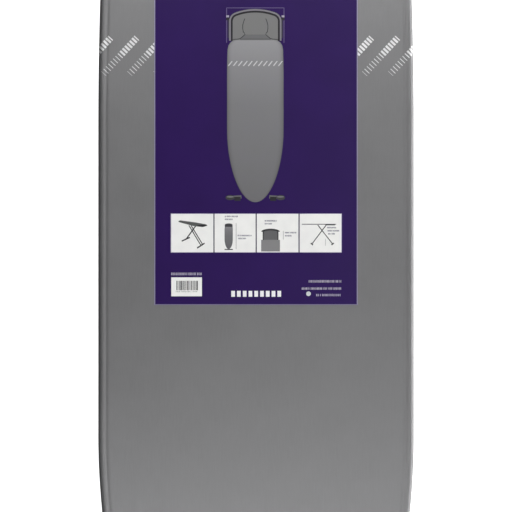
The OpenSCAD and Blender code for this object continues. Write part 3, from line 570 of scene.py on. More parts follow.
def sky_light(sky, horizon):
    """World light: horizon + 2 sky max(0, up) ^ 3 on the pieces, and plain white behind them."""
    world = bpy.data.worlds.new("studio")
    world.use_nodes = True
    tree = world.node_tree
    ground = tree.nodes["Background"]
    ground.inputs["Color"].default_value = (1, 1, 1, 1)
    direction = tree.nodes.new("ShaderNodeTexCoord").outputs["Generated"]
    split = tree.nodes.new("ShaderNodeSeparateXYZ")
    tree.links.new(direction, split.inputs[0])

    def calculate(operation, *values):
        node = tree.nodes.new("ShaderNodeMath")
        node.operation = operation
        for socket, value in zip(node.inputs, values):
            if isinstance(value, bpy.types.NodeSocket):
                tree.links.new(value, socket)
            else:
                socket.default_value = value
        return node.outputs[0]

    up = calculate("MAXIMUM", split.outputs[2], 0.0)
    glow = calculate("MULTIPLY_ADD", calculate("POWER", up, 3.0), sky * 2, horizon)
    seen = tree.nodes.new("ShaderNodeLightPath").outputs["Is Camera Ray"]
    tree.links.new(calculate("MAXIMUM", glow, seen), ground.inputs["Strength"])
    bpy.context.scene.world = world


class IRONBOARD_OT_stage(bpy.types.Operator):
    """Sets up the camera, the white floor and the studio lights"""

    bl_idname = "ironboard.stage"
    bl_label = "Stage"

    def execute(self, context):
        stage = context.scene.ironboard_stage
        surface = float(COVER_HIGH[2])
        lens = bpy.data.cameras.new("camera")
        lens.lens, lens.sensor_width, lens.clip_end = stage.lens, 36, 100
        camera = bpy.data.objects.new("camera", lens)
        camera.location = (0, stage.camera_y, surface + stage.camera_height)
        context.scene.collection.objects.link(camera)
        context.scene.camera = camera
        context.scene.view_settings.view_transform = "Standard"

        sky_light(stage.sky, stage.horizon)
        middle = (0, stage.camera_y, surface)
        area_light("side_strip", stage.strip, 2.6, 0.55, (1.6, 0.05, surface - 0.36), middle)
        area_light("key_light", stage.key, 1.6, 0.8, (0.95, 0.05, surface + 2.1), middle)
        for name, y, share in (("heel_light", 1.0, 0.85), ("nose_light", -0.86, 0.8)):
            target = (0, y * 0.7, surface)
            area_light(name, stage.ends * share, 2.0, 0.45, (0, y, surface + 0.72), target)

        radius, height = np.array([0.0, 12.0, 12.0, 0.0]), np.array([0.0, 0.0, -0.02, -0.02])
        points, faces = lathe(np.stack([radius, height], 1), 96)
        floor = mesh_object("floor", points, faces, smooth=False)
        white = Finish("floor_white", (0.8, 0.8, 0.8), 0.9)
        white.feed(white.shader, Emission_Color=(1, 1, 1, 1), Emission_Strength=stage.floor)
        floor.data.materials.append(white.material)
        floor.visible_diffuse = floor.visible_glossy = False
        return {"FINISHED"}


# ---------------------------------------------------------------- cover, padding and hem


def ring_rows(loop, normals, insets, heights):
    """Rings that follow a loop, each moved in by an inset and set at a height."""
    insets, heights, _ = np.broadcast_arrays(insets, heights, loop[None, :, 0])
    flat = loop[None] - insets[..., None] * normals[None]
    return np.concatenate([flat, heights[..., None]], -1)


def spine_rows(ring, spine_low, spine_high, rows):
    """Rings that grow from the middle line, between two places along Y, to just inside a ring."""
    spine = np.stack([0 * ring[:, 0], np.clip(ring[:, 1], spine_low, spine_high), ring[:, 2]], 1)
    share = np.linspace(0, 1, rows + 1)[:-1, None, None]
    return spine[None] * (1 - share) + ring[None] * share


def gathers(even, loop, cover):
    """Height of the hem's gathers round the edge, as a share of the pucker size from 0 to 1.

    A sine wave with a wandering pitch, raised to a power so that the folds are narrower than the
    valleys. It is full round the nose and across the heel, and lower along the straight sides.
    """
    n = loop[:, 1] - NOSE_Y
    round_nose = np.clip(1 - n / (cover.nose_length * 0.8), 0, 1)
    round_heel = np.exp(-((COVER_LENGTH - n) / 0.09) ** 2)
    strength = 0.3 + 0.7 * np.clip(round_nose + round_heel, 0, 1)
    turn = even / (even[-1] + even[1]) * 2 * np.pi
    folds = 141
    wander = 2.3 * np.sin(5 * turn + 1) + 1.4 * np.sin(13 * turn + 2) + 0.8 * np.sin(29 * turn)
    return strength * (0.5 + 0.5 * np.sin(folds * turn + wander)) ** 1.6


def cover_rings(cover, count):
    """The cloth's middle surface as rings, from the middle line out over the edge to the hem.

    Over the edge tube the section is half an ellipse. Inside it the cloth dips by a bell curve.
    Underneath, the hem runs in to a casing that is three quarters of a circle. The gathers lift
    the hem, and sway it sideways by up to 1.1 mm once in 83 mm.
    """
    loop, normals, even = outline(cover, count)
    half = cover.thickness / 2
    radius = cover.roll - half
    roll = np.linspace(np.pi / 2, -np.pi / 2, 13)
    dip_at, dip_width = 0.0112, 0.0019
    top_insets = np.array([36, 30, 24, 19, 16.5, 14.7, 13.4, 12.2, 11.2, 10.2, 9.2, 8.2]) * MM
    top_heights = radius - cover.groove * np.exp(-(((top_insets - dip_at) / dip_width) ** 2))
    hem_insets = np.array([0.0125, 0.0155, 0.0185, 0.0215, 0.0245])
    curl = np.radians(np.arange(-90, 181, 30))
    casing_insets = cover.hem + CASING_RADIUS * np.cos(curl)
    casing_heights = -radius + CASING_RADIUS + CASING_RADIUS * np.sin(curl)
    roll_insets = cover.roll_width - (cover.roll_width - half) * np.cos(roll)
    hem_heights = 0 * hem_insets - radius
    insets = np.concatenate([top_insets, roll_insets, hem_insets, casing_insets])
    heights = np.concatenate([top_heights, radius * np.sin(roll), hem_heights, casing_heights])

    folds = gathers(even, loop, cover)
    first_hem = len(top_insets) + len(roll)
    lift = np.zeros((len(insets), count))
    grow = np.clip((insets[first_hem:] - cover.roll) / (cover.hem - cover.roll), 0, 1) ** 1.4
    lift[first_hem:] = grow[:, None] * cover.pucker * folds[None]
    sway = np.zeros((len(insets), count))
    sway[first_hem:] = grow[:, None] * 0.0011 * np.sin(even * 2 * np.pi / 0.083)[None] * folds[None]
    rings = ring_rows(loop, normals, insets[:, None] + sway, heights[:, None] + lift)
    inner = spine_rows(rings[0], *SPINE, 12)
    rings = np.concatenate([inner, rings])
    rings[..., 2] += BOARD_Z
    return rings, loop, normals, even, lift[-1], sway[-1]


class IRONBOARD_OT_cover(bpy.types.Operator):
    """Makes the fabric cover with its rolled edge, gathered hem, hem cord and stitching"""

    bl_idname = "ironboard.cover"
    bl_label = "Cover"

    def execute(self, context):
        cover, colours = context.scene.ironboard_cover, context.scene.ironboard_colours
        rings, loop, normals, even, lift, sway = cover_rings(cover, 960)
        cloth = rings_object("fabric_cover", rings)
        finish_piece(cloth, finish("cover"), "board", ["cover"])
        if cloth.data.polygons[0].normal.z < 0:
            cloth.data.flip_normals()
        thick = cloth.modifiers.new("cloth_thickness", "SOLIDIFY")
        thick.thickness, thick.offset = cover.thickness, 0

        cord_z = BOARD_Z - cover.roll + cover.thickness / 2 + CASING_RADIUS + lift
        cord_points = ring_rows(loop, normals, (cover.hem + sway)[None], cord_z[None])
        points, cord_faces = sweep(cord_points.reshape(-1, 3)[::2], 0.0014, 8, closed=True)
        cord = mesh_object("hem_cord", points, cord_faces)
        finish_piece(cord, finish("cord"), "board", ["hem_elastic"])

        stitches = self.stitches(cover, rings, even)
        finish_piece(stitches, finish("thread"), "board")
        return {"FINISHED"}

    def stitches(self, cover, rings, even):
        """The hem's seam: rounded bars 3 mm long, 4.5 mm from one to the next, on the underside."""
        last_before_casing = -11
        line = rings[last_before_casing]
        total = even[-1] + even[1]
        count = int(total / 0.0045)
        start = (np.arange(count) + 0.2) * total / count
        wrapped = np.vstack([line, line[:1]])
        stops = np.append(even, total)

        def on_line(run):
            return np.stack([np.interp(run % total, stops, wrapped[:, k]) for k in range(3)], 1)

        ends = on_line(start), on_line(start + 0.003)
        along = ends[1] - ends[0]
        side = np.cross(along, (0, 0, 1.0))
        side /= np.linalg.norm(side, axis=1, keepdims=True)
        down = np.array([0, 0, -1.0])
        low = cover.thickness / 2
        share = np.array([0, 0.15, 0.85, 1])[None, :, None, None]
        swell = np.array([0.35, 1, 1, 0.35])[None, :, None, None] * 0.00038
        turn = np.linspace(0, 2 * np.pi, 6, endpoint=False)[None, None, :, None]
        middle = ends[0][:, None, None] + along[:, None, None] * share + down * low
        points = middle + swell * (side[:, None, None] * np.cos(turn) + down * np.sin(turn))
        one = grid_faces(4, 6, wrap_columns=True)
        caps = [list(range(6)), list(range(18, 24))[::-1]]
        faces = [list(face + 24 * i) for i in range(count) for face in one]
        faces += [[v + 24 * i for v in cap] for i in range(count) for cap in caps]
        return mesh_object("hem_stitches", points, faces)


class IRONBOARD_OT_padding(bpy.types.Operator):
    """Makes the felt padding, which bulges softly into the diamond openings of the mesh"""

    bl_idname = "ironboard.padding"
    bl_label = "Padding"

    def execute(self, context):
        cover = context.scene.ironboard_cover
        low, high = node_box("pad")
        inset = float(low[1] - NOSE_Y)
        loop, normals, _ = outline(cover, 360)
        rim = (high[2] - low[2]) / 2
        turn = np.linspace(np.pi / 2, -np.pi / 2, 9)[:, None]
        edge = ring_rows(loop, normals, inset + rim * (1 - np.cos(turn)), rim * np.sin(turn))
        rows, bulge = 52, 0.00045
        top = spine_rows(edge[0], *SPINE, rows)
        bottom = spine_rows(edge[-1], *SPINE, rows)[::-1]
        across, along = bottom[..., 0] / 0.033, (bottom[..., 1] - NOSE_Y - 0.06) / 0.053
        diamonds = np.cos(np.pi * (across + along)) * np.cos(np.pi * (across - along))
        bottom[..., 2] -= bulge * np.clip(diamonds, 0, 1)
        rings = np.concatenate([top, edge, bottom])
        rings[..., 2] += (low[2] + high[2]) / 2
        pad = rings_object("felt_padding", rings)
        finish_piece(pad, finish("felt"), "board", ["pad"])
        return {"FINISHED"}


# ---------------------------------------------------------------- iron rest


def rest_path(rest, inwards, root_y):
    """The iron rest's line in plan, moved inwards.

    Two straight legs lead to two shoulder bends, with the arch between them: circles that touch.
    """
    low, high = node_box("rest_tube")
    half, end = high[0] - REST_TUBE_RADIUS, high[1] - REST_TUBE_RADIUS
    arch_y = end - rest.arch
    bend_y = arch_y + np.sqrt((rest.arch - rest.bend) ** 2 - (half - rest.bend) ** 2)
    turned = np.arctan2(bend_y - arch_y, half - rest.bend)
    straight = np.linspace(root_y, bend_y, 24)[:-1]

    def arc(radius, x, y, turns):
        radius = radius - inwards
        return np.stack([x + radius * np.cos(turns), y + radius * np.sin(turns)], 1)

    right = np.concatenate([
        np.stack([0 * straight + half - inwards, straight], 1),
        arc(rest.bend, half - rest.bend, bend_y, np.linspace(0, turned, 20)),
        arc(rest.arch, 0, arch_y, np.linspace(turned, np.pi / 2, 32)[1:]),
    ])
    return np.concatenate([right, right[-2::-1] * [-1, 1]])


def mat_side(y, grow=0.0):
    """Half the mat's width: a smooth line with a flared front, a neck, a belly and a narrow end."""
    places = np.array([-10, 8, 22, 42, 66, 90, 116, 156, 205]) * MM
    widths = np.array([118, 108, 84, 73, 84, 90, 87, 74, 73]) * MM
    fine = np.linspace(places[0], places[-1], 200)
    rough = np.interp(fine, places, widths)
    window = np.hanning(19)
    padded = np.pad(rough, 9, mode="edge")
    smooth = np.convolve(padded, window / window.sum(), mode="valid")
    return np.interp(y - HEEL_Y, fine, smooth) + grow


def even_loop(corners, count, passes):
    """Points evenly spaced round a closed line, and the outward normals there.

    Each pass moves every point halfway to the middle of its neighbours, which rounds the corners.
    """
    closed = np.vstack([corners, corners[:1]])
    run = np.concatenate([[0], np.cumsum(np.linalg.norm(np.diff(closed, axis=0), axis=1))])
    stops = np.linspace(0, run[-1], count, endpoint=False)
    loop = np.stack([np.interp(stops, run, closed[:, k]) for k in (0, 1)], 1)
    for _ in range(passes):
        loop = 0.5 * loop + 0.25 * (np.roll(loop, 1, 0) + np.roll(loop, -1, 0))
    along = np.roll(loop, -1, 0) - np.roll(loop, 1, 0)
    along /= np.linalg.norm(along, axis=1, keepdims=True)
    return loop, np.stack([along[:, 1], -along[:, 0]], 1)


class IRONBOARD_OT_iron_rest(bpy.types.Operator):
    """Makes the iron rest: its bent tube, moulded tray and heat mat"""

    bl_idname = "ironboard.iron_rest"
    bl_label = "Iron rest"

    def execute(self, context):
        rest = context.scene.ironboard_rest
        low, high = node_box("rest_tube")
        line = rest_path(rest, 0.0, float(HEEL_Y) - rest.root)
        path = np.column_stack([line, np.full(len(line), (low[2] + high[2]) / 2)])
        tube = mesh_object("rest_loop", *sweep(path, REST_TUBE_RADIUS, 28))
        finish_piece(tube, finish("paint"), "board", ["rest_tube"])
        self.tray(rest)
        self.mat(rest)
        return {"FINISHED"}

    def tray(self, rest):
        """The tray.

        Its top is level in the middle, the two wings stand higher, and a groove runs between. It
        slopes down towards the board. Its rim is a quarter circle, and its skirt draws in 0.4 mm.
        """
        low, high = node_box("rest_tray")
        line = rest_path(rest, REST_TUBE_RADIUS + rest.gap, float(low[1]))
        front = np.linspace(line[-1, 0], line[0, 0], 60)[1:-1]
        corners = np.vstack([line, [[x, low[1]] for x in front]])
        loop, normals = even_loop(corners, 620, 24)
        depth, wall, rim = high[2] - low[2], rest.wall, 0.003
        turn = np.linspace(0, np.pi / 2, 5)[1:, None]
        spine = (float(low[1]) + 0.05, float(high[1]) - 0.10)

        def relief(points):
            x, y = np.abs(points[..., 0]), points[..., 1]
            beside = x - mat_side(y, 0.003)
            wing = rest.wing * (0.5 + 0.5 * np.tanh((beside - 0.004) / 0.0022))
            groove = -rest.groove * np.exp(-((beside / 0.0024) ** 2))
            slope = -0.0032 * np.clip((HEEL_Y + 0.036 - y) / 0.036, 0, 1) ** 1.5
            return (wing + groove) * np.clip((y - HEEL_Y + 0.004) / 0.012, 0.25, 1) + slope

        def rings(insets, heights):
            return ring_rows(loop, normals, np.reshape(insets, (-1, 1)), np.reshape(heights, (-1, 1)))

        skirt_out = rings([0, 0.0004], [-rim, -depth])
        rim_out = rings(rim * (1 - np.cos(turn)), -rim + rim * np.sin(turn))[::-1]
        near = rings([0.0070, 0.0055, 0.0042], [0, 0, 0])
        top = spine_rows(near[0], *spine, 66)
        skirt_in = rings([wall, wall], [-wall - 0.001, -depth])
        below = spine_rows(rings([wall + 0.001], [-wall])[0], *spine, 40)
        under = np.concatenate([below, skirt_in])
        outer = np.concatenate([top, near, rim_out, skirt_out])
        outer[..., 2] += relief(outer)
        outer[-1, :, 2] = -depth
        under[..., 2] += relief(under)
        under[-1, :, 2] = -depth
        shell = np.concatenate([outer, under[::-1]])
        shell[..., 2] += high[2]
        tray = rings_object("rest_tray_moulding", shell)
        finish_piece(tray, finish("tray"), "board", ["rest_tray"])

    def mat(self, rest):
        """The heat mat: a flat pad with a rounded rim and low ribs across, 10.5 mm apart.

        A rib's section is a raised cosine to the power 0.6. The ribs fade out near the edges.
        """
        low, high = node_box("rest_mat")
        y = np.linspace(low[1], high[1], 120)
        right = np.stack([mat_side(y), y], 1)
        corners = np.vstack([right, right[::-1] * [-1, 1]])
        loop, normals = even_loop(corners, 460, 60)
        thick = high[2] - low[2]
        rim = 0.0012
        turn = np.linspace(np.pi / 2, 0, 5)[:, None]
        edge = ring_rows(loop, normals, rim * (1 - np.cos(turn)), thick - rim + rim * np.sin(turn))
        spine = (float(low[1]) + 0.06, float(high[1]) - 0.06)
        near_insets = np.array([[0.0052], [0.0038], [0.0025]])
        near = ring_rows(loop, normals, near_insets, np.full((3, 1), thick))
        top = spine_rows(near[0], *spine, 60)
        foot = ring_rows(loop, normals, np.array([[0.0]]), np.array([[0.0]]))
        below = spine_rows(foot[0], *spine, 8)
        rings = np.concatenate([top, near, edge, foot, below[::-1]])
        inner = rings[:len(top) + len(near)]
        x, y = inner[..., 0], inner[..., 1]
        across = 0.5 + 0.5 * np.cos(2 * np.pi * (y - low[1]) / 0.0105)
        inside = np.clip((mat_side(y) - np.abs(x) - 0.006) / 0.003, 0, 1)
        ends = np.clip((np.minimum(y - low[1], high[1] - y) - 0.006) / 0.003, 0, 1)
        inner[..., 2] -= 0.0008 * (1 - across**0.6) * inside * ends
        rings[..., 2] += low[2]
        mat = rings_object("rest_heat_mat", rings)
        finish_piece(mat, finish("mat"), "board", ["rest_mat"])


# ---------------------------------------------------------------- display card


class Print:
    """Flat printed shapes on the card, each a thin slab with its own ink colour.

    Places are in millimetres on the card: x from its middle, y from its near edge. Each layer
    stands a hair higher than the one before.
    """

    FOOT = 0.004

    def __init__(self):
        low, high = node_box("display_card")
        self.origin = np.array([0, low[1], high[2]])
        self.points, self.faces, self.inks = [], [], []

    @staticmethod
    def lift(layer):
        return 0.03 + 0.035 * layer

    def slab(self, corners, ink, layer=0):
        """A slab over a flat outline."""
        flat = np.asarray(corners, float)
        x, y = flat.T
        if np.sum(x * np.roll(y, -1) - np.roll(x, -1) * y) < 0:
            flat = flat[::-1]
        n, first = len(flat), len(self.points)
        for height in (self.FOOT, self.lift(layer)):
            self.points += [self.origin + np.array([x, y, height]) * MM for x, y in flat]
        low, high = first + np.arange(n), first + n + np.arange(n)
        self.faces += [list(low[::-1]), list(high)]
        sides = np.stack([low, np.roll(low, -1), np.roll(high, -1), high], 1)
        self.faces += [list(side) for side in sides]
        self.inks += [(*ink, 1)] * (2 * n)

    def box(self, x0, y0, x1, y1, ink, layer=0):
        self.slab([(x0, y0), (x1, y0), (x1, y1), (x0, y1)], ink, layer)

    def line(self, places, width, ink, layer=0):
        """A line of even width through places: a slab for each stretch, 0.3 widths longer each way."""
        for start, end in zip(np.array(places, float), np.array(places[1:], float)):
            along = (end - start) / np.hypot(*(end - start))
            side = np.array([-along[1], along[0]]) * width / 2
            start, end = start - along * width * 0.3, end + along * width * 0.3
            self.slab([start + side, end + side, end - side, start - side], ink, layer)

    def strokes(self, x0, x1, y, height, ink, layer=0, seed=0, gap=0.5):
        """A row of plain upright strokes of uneven width, in place of a line of words."""
        draw = np.random.default_rng(seed)
        x = x0
        while x < x1 - 0.3:
            width = min(draw.uniform(0.45, 1.0) * height * 0.42, x1 - x)
            self.box(x, y, x + width, y + height, ink, layer)
            x += width + gap * (2.2 if draw.random() < 0.15 else 1)

    def patch(self, rows, columns, place, ink, layer=0):
        """A sheet over a grid: place and ink take the two parameters from 0 to 1 as whole arrays."""
        s, t = np.meshgrid(np.linspace(0, 1, rows), np.linspace(0, 1, columns), indexing="ij")
        x, y = place(s, t)
        colours = np.clip(np.broadcast_arrays(*(channel(s, t) for channel in ink)), 0, 1)
        lift = self.lift(layer)
        for height in (self.FOOT, lift):
            first = len(self.points)
            points = self.origin + np.stack([x, y, np.full_like(x, height)], -1).reshape(-1, 3) * MM
            self.points += list(points)
            self.inks += [(r, g, b, 1) for r, g, b in np.stack(colours, -1).reshape(-1, 3)]
            quads = grid_faces(rows, columns) + first
            self.faces += [list(q) for q in (quads if height == lift else quads[:, ::-1])]
        index = np.arange(rows * columns).reshape(rows, columns)
        rim = np.concatenate([index[0], index[1:, -1], index[-1, -2::-1], index[-2:0:-1, 0]])
        base = first - rows * columns
        ahead = np.roll(rim, -1)
        sides = np.stack([rim + base, rim + first, ahead + first, ahead + base], 1)
        self.faces += [list(side) for side in sides]

    def make(self, name):
        piece = mesh_object(name, self.points, self.faces, smooth=False)
        layer = piece.data.color_attributes.new("ink", "FLOAT_COLOR", "POINT")
        layer.data.foreach_set("color", np.array(self.inks, np.float32).ravel())
        return piece


WHITE, PALE, LILAC = (0.92, 0.92, 0.93), (0.92, 0.92, 0.90), (0.13, 0.095, 0.22)
DARK, BLACK, MIDDLE = (0.035, 0.035, 0.036), (0.008, 0.008, 0.009), (0.12, 0.12, 0.122)
NAVY = (0.05, 0.045, 0.12)


def board_picture(art, middle, heel, across, along, light, dark, cover, layer):
    """The board from above in small, as a sheet between its two sides.

    It goes from dark at the nose to light at the heel, and darkens towards its sides. Its rows
    crowd at both ends: 5/8 of them lie in the 36% of the length next to the nose.
    """
    span = COVER_LENGTH / MM
    turn, nose_share = 0.625, 0.36

    def place(s, t):
        near = (1 - np.cos(np.pi / 2 * np.minimum(s / turn, 1))) * nose_share
        rest = np.clip((s - turn) / (1 - turn), 0, 1)
        far = nose_share + (1 - nose_share) * np.sin(np.pi / 2 * rest)
        n = COVER_LENGTH * np.where(s > turn, far, near)
        x = middle + (2 * t - 1) * half_width(n, cover) / MM * across
        return x, heel + (n / MM - span) * along

    def tone(s, t):
        x, y = place(s, t)
        up = np.clip((y - heel) / (span * along) + 1, 0, 1)
        steps = [dark * 0.8, dark * 0.93, dark * 1.05, (light + dark) / 2, light]
        ramp = np.interp(up, [0, 0.25, 0.6, 0.85, 1], steps)
        rim = np.clip(1 - np.abs(2 * t - 1), 0, 0.16) / 0.16
        return ramp * (0.62 + 0.38 * rim**0.6)

    art.patch(40, 33, place, (tone, tone, lambda s, t: tone(s, t) * 1.03), layer)


def rest_picture(art, middle, heel, scale, layer):
    """The iron rest from above in small: outline, tube, gap, tray, its shaded front and grooves."""
    rest = bpy.context.scene.ironboard_rest

    def loop(inwards, from_heel):
        line = rest_path(rest, inwards, float(HEEL_Y) + from_heel)
        x, y = line[:, 0] / MM, (line[:, 1] - HEEL_Y) / MM
        return np.stack([middle + x * scale, heel + y * scale], 1)

    art.slab(loop(-0.0105, -0.004), (0.03, 0.028, 0.035), layer)
    art.slab(loop(-0.0085, -0.004), (0.20, 0.19, 0.215), layer + 1)
    art.slab(loop(0.0035, -0.004), (0.0, 0.0, 0.0), layer + 2)
    art.slab(loop(0.0175, -0.002), (0.18, 0.182, 0.178), layer + 3)
    fronts = ((4, 42, 78, (0.135, 0.136, 0.138)), (2, 14, 104, (0.11, 0.111, 0.113)))
    for step, (low, high, far, ink) in enumerate(fronts, 4):
        front = np.array([(-116, low), (116, low), (far, high), (-far, high)]) * scale
        art.slab(front + (middle, heel), ink, layer + step)
    upper = [(78, 158), (86, 138), (93, 112), (93, 84), (89, 62), (79, 50)]
    lower = [(76, 43), (92, 28), (112, 12), (128, 8), (165, 6)]
    for side in (-1, 1):
        for curve in (upper, lower):
            groove = [(middle + side * x * scale, heel + y * scale) for x, y in curve]
            art.line(groove, 5.2 * scale, (0.02, 0.02, 0.022), layer + 6)


def foot_picture(art, middle, y, scale, side):
    """One end of the nose foot in small: bar, wheel, and round cap with its highlight."""
    turn = np.linspace(0, 2 * np.pi, 24, endpoint=False)

    def at(x):
        return middle + side * x * scale

    def oval(x, rise, wide, tall):
        across, up = wide * scale * np.cos(turn), tall * scale * np.sin(turn)
        return np.stack([at(x) + across, y + rise + up], 1)

    art.line([(at(110), y + 1.0), (at(190), y + 0.2)], 24 * scale, MIDDLE, 0)
    art.line([(at(118), y - 1.6), (at(146), y - 1.6)], 30 * scale, BLACK, 1)
    art.slab(oval(187, 0, 34, 19), DARK, 2)
    art.slab(oval(186, 1.1, 27, 6), (0.17, 0.17, 0.175), 3)


def big_picture(art, cover):
    """The folded board from above, with its feet, its band and a thin bracket round its rest."""
    heel, across, along = 349.0, 37.2 / 209, 213.5 / 1200
    middle = -0.9
    for side in (-1, 1):
        foot_picture(art, middle, 141.5, across, side)
        for x0, y0, x1, y1, width, ink, layer in (
            (196, 4, 196, 27, 3.4, (0.02, 0.012, 0.045), 0),
            (199, 31.5, 211, 31.5, 2.6, (0.36, 0.33, 0.40), 1),
            (198, 28.0, 210, 28.0, 3.4, BLACK, 1),
        ):
            ends = [(middle + side * x * across, heel + y) for x, y in ((x0, y0), (x1, y1))]
            art.line(ends, width, ink, layer)
        x = middle + side * 37.8
        art.line([(x, heel - 3), (x, heel + 42.6)], 0.9, LILAC, 0)
    art.line([(middle - 37.8, heel + 42.6), (middle + 37.8, heel + 42.6)], 0.8, LILAC, 0)
    rest_picture(art, middle, heel, across, 2)
    board_picture(art, middle, heel, across, along, 0.29, 0.185, cover, 10)
    for k in range(11):
        x = middle - 33.0 + 6.6 * k
        art.line([(x - 2.3, heel - 33.6), (x + 2.3, heel - 27.9)], 1.25, (0.62, 0.62, 0.63), 11)


def panel_pictures(art, cover):
    """Four pale panels: the board standing, folded, its iron rest close to, and from the side."""
    low, high = 69.8, 119.9
    edges = [(-111.6, -56.0), (-54.8, -0.4), (0.9, 55.9), (57.6, 112.3)]
    art.box(-112.4, low - 0.7, 113.1, high + 0.7, (0.5, 0.45, 0.62), 0)
    for x0, x1 in edges:
        art.box(x0, low, x1, high, PALE, 1)
    for x in (-55.4, 0.25, 56.75):
        art.box(x - 0.75, low - 0.7, x + 0.75, high + 0.7, (0.03, 0.025, 0.06), 2)

    art.line([(-88.2, 104.6), (-72.8, 78.9)], 1.3, DARK, 2)
    art.line([(-85.4, 104.6), (-70.4, 79.9)], 1.3, DARK, 2)
    art.line([(-77.2, 75.3), (-68.2, 81.2)], 1.7, BLACK, 2)
    art.line([(-79.2, 104.6), (-91.3, 87.9)], 1.5, DARK, 2)
    art.line([(-97.5, 84.4), (-87.6, 88.9)], 1.6, BLACK, 2)
    art.slab([(-102.4, 110.6), (-99.8, 111.5), (-80, 108.9), (-65.5, 106.2), (-64, 104.6), (-70, 102.8),
              (-82, 104.0), (-96, 107.7), (-101.8, 109.4)], (0.085, 0.09, 0.085), 3)
    art.slab([(-78.5, 104.2), (-75.0, 105.4), (-66.4, 105.9), (-64, 104.6), (-70, 102.8)], BLACK, 4)

    turn = np.linspace(0, np.pi, 12)
    arch = np.stack([-36 + 5.1 * np.cos(turn), 105.6 + 1.9 * np.sin(turn)], 1)
    art.slab([(-30.9, 98), *arch, (-41.1, 98)], DARK, 3)
    board_picture(art, -36.0, 103.0, 5.4 / 209, 29.2 / 1200, 0.24, 0.15, cover, 4)
    art.box(-41.4, 72.6, -30.6, 73.9, DARK, 3)
    art.line([(-26.2, 73.8), (-26.2, 107.7)], 0.45, MIDDLE, 2)

    rest_middle, heel = 19.2, 85.9
    art.slab([(rest_middle + 12.3 * np.cos(a), 96.6 + 4.0 * np.sin(a)) for a in turn], DARK, 3)
    art.box(rest_middle - 10.4, heel, rest_middle + 10.4, 98.3, DARK, 3)
    art.slab([(rest_middle - 9.0, heel), (rest_middle + 9.0, heel), (rest_middle + 9.0, 96.6),
              *((rest_middle + 9.0 * np.cos(a), 96.6 + 1.7 * np.sin(a)) for a in turn),
              (rest_middle - 9.0, 96.6)], MIDDLE, 4)
    art.box(rest_middle - 12.4, 70.6, rest_middle + 12.4, heel, (0.23, 0.23, 0.232), 4)
    art.line([(36.0, 86.4), (36.0, 97.5)], 0.4, MIDDLE, 2)

    for start, end, width, ink, layer in (
        ((60.8, 106.4), (105.2, 106.4), 1.0, (0.1, 0.1, 0.1), 3),
        ((92, 105.6), (104.0, 105.6), 1.1, DARK, 3),
        ((81.6, 105.2), (101.1, 80.4), 1.2, DARK, 3),
        ((92.3, 105.2), (73.7, 80.4), 1.2, DARK, 3),
        ((99.8, 79.6), (102.2, 81.4), 1.6, BLACK, 4),
        ((72.6, 81.2), (74.8, 79.4), 1.6, BLACK, 4),
        ((91.6, 78.1), (91.6, 87.2), 0.35, MIDDLE, 2),
    ):
        art.line([start, end], width, ink, layer)
    rows = [
        (-40.9, -24.1, 115.8), (-40.9, -30.2, 112.0), (-24.1, -5.9, 90.6), (-23.3, -13.4, 86.7),
        (11.6, 27.6, 110.0), (11.6, 21.5, 106.2), (38.2, 53.4, 94.4), (38.2, 46.7, 90.3),
        (93.9, 106.1, 101.0), (94.5, 109.8, 96.9), (95.3, 103.8, 92.9),
    ]
    for seed, (x0, x1, y) in enumerate(rows):
        art.strokes(x0, x1, y, 1.9, NAVY, 3, seed, 0.45)


def small_print(art):
    """The plain code patch, a row of blocks in the middle and rows of strokes at the right."""
    art.box(-111.7, 11.5, -71.3, 36.5, PALE, 0)
    draw = np.random.default_rng(5)
    x = -104.8
    while x < -76.6:
        width = draw.choice([0.45, 0.8, 1.2])
        art.box(x, 19.4, x + width, 31.9, BLACK, 1)
        x += width + draw.choice([0.4, 0.6, 0.9])
    art.strokes(-105.5, -77, 16.9, 1.6, MIDDLE, 1, 3, 0.8)
    art.strokes(-111.7, -71.6, 39.3, 3.4, (0.45, 0.42, 0.52), 0, 7, 0.7)
    for k in range(9):
        art.box(-32.6 + 7.6 * k, 10.9, -32.6 + 7.6 * k + 4.9, 18.7, WHITE, 0)
    art.strokes(69.5, 112.3, 29.6, 3.2, (0.5, 0.47, 0.56), 0, 8, 0.8)
    art.strokes(60.4, 112.3, 20.2, 3.0, (0.5, 0.47, 0.56), 0, 9, 0.8)
    art.strokes(79.4, 112.3, 11.6, 3.0, (0.42, 0.39, 0.5), 0, 10, 0.8)
    turn = np.linspace(0, 2 * np.pi, 24, endpoint=False)
    disc = np.stack([69.2 + 3.1 * np.cos(turn), 14.9 + 3.1 * np.sin(turn)], 1)
    art.slab(disc, (0.62, 0.66, 0.66), 0)


class IRONBOARD_OT_card_print(bpy.types.Operator):
    """Prints the display card: pictures of the board, four panels and plain marks in place of words"""

    bl_idname = "ironboard.card_print"
    bl_label = "Card print"

    def execute(self, context):
        cover = context.scene.ironboard_cover
        low, high = node_box("display_card")
        wide, tall, _ = (high - low) / MM
        art = Print()
        for side in (-1, 1):
            art.box(side * wide / 2, 0, side * (wide / 2 - 1.1), tall, (0.30, 0.27, 0.42), 0)
        art.box(-wide / 2, 0, wide / 2, 1.0, (0.22, 0.19, 0.33), 1)
        big_picture(art, cover)
        panel_pictures(art, cover)
        small_print(art)
        piece = art.make("card_print")
        piece.data.materials.append(finish("ink"))
        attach(piece, "board")
        return {"FINISHED"}


# ---------------------------------------------------------------- wheels, caps and grip


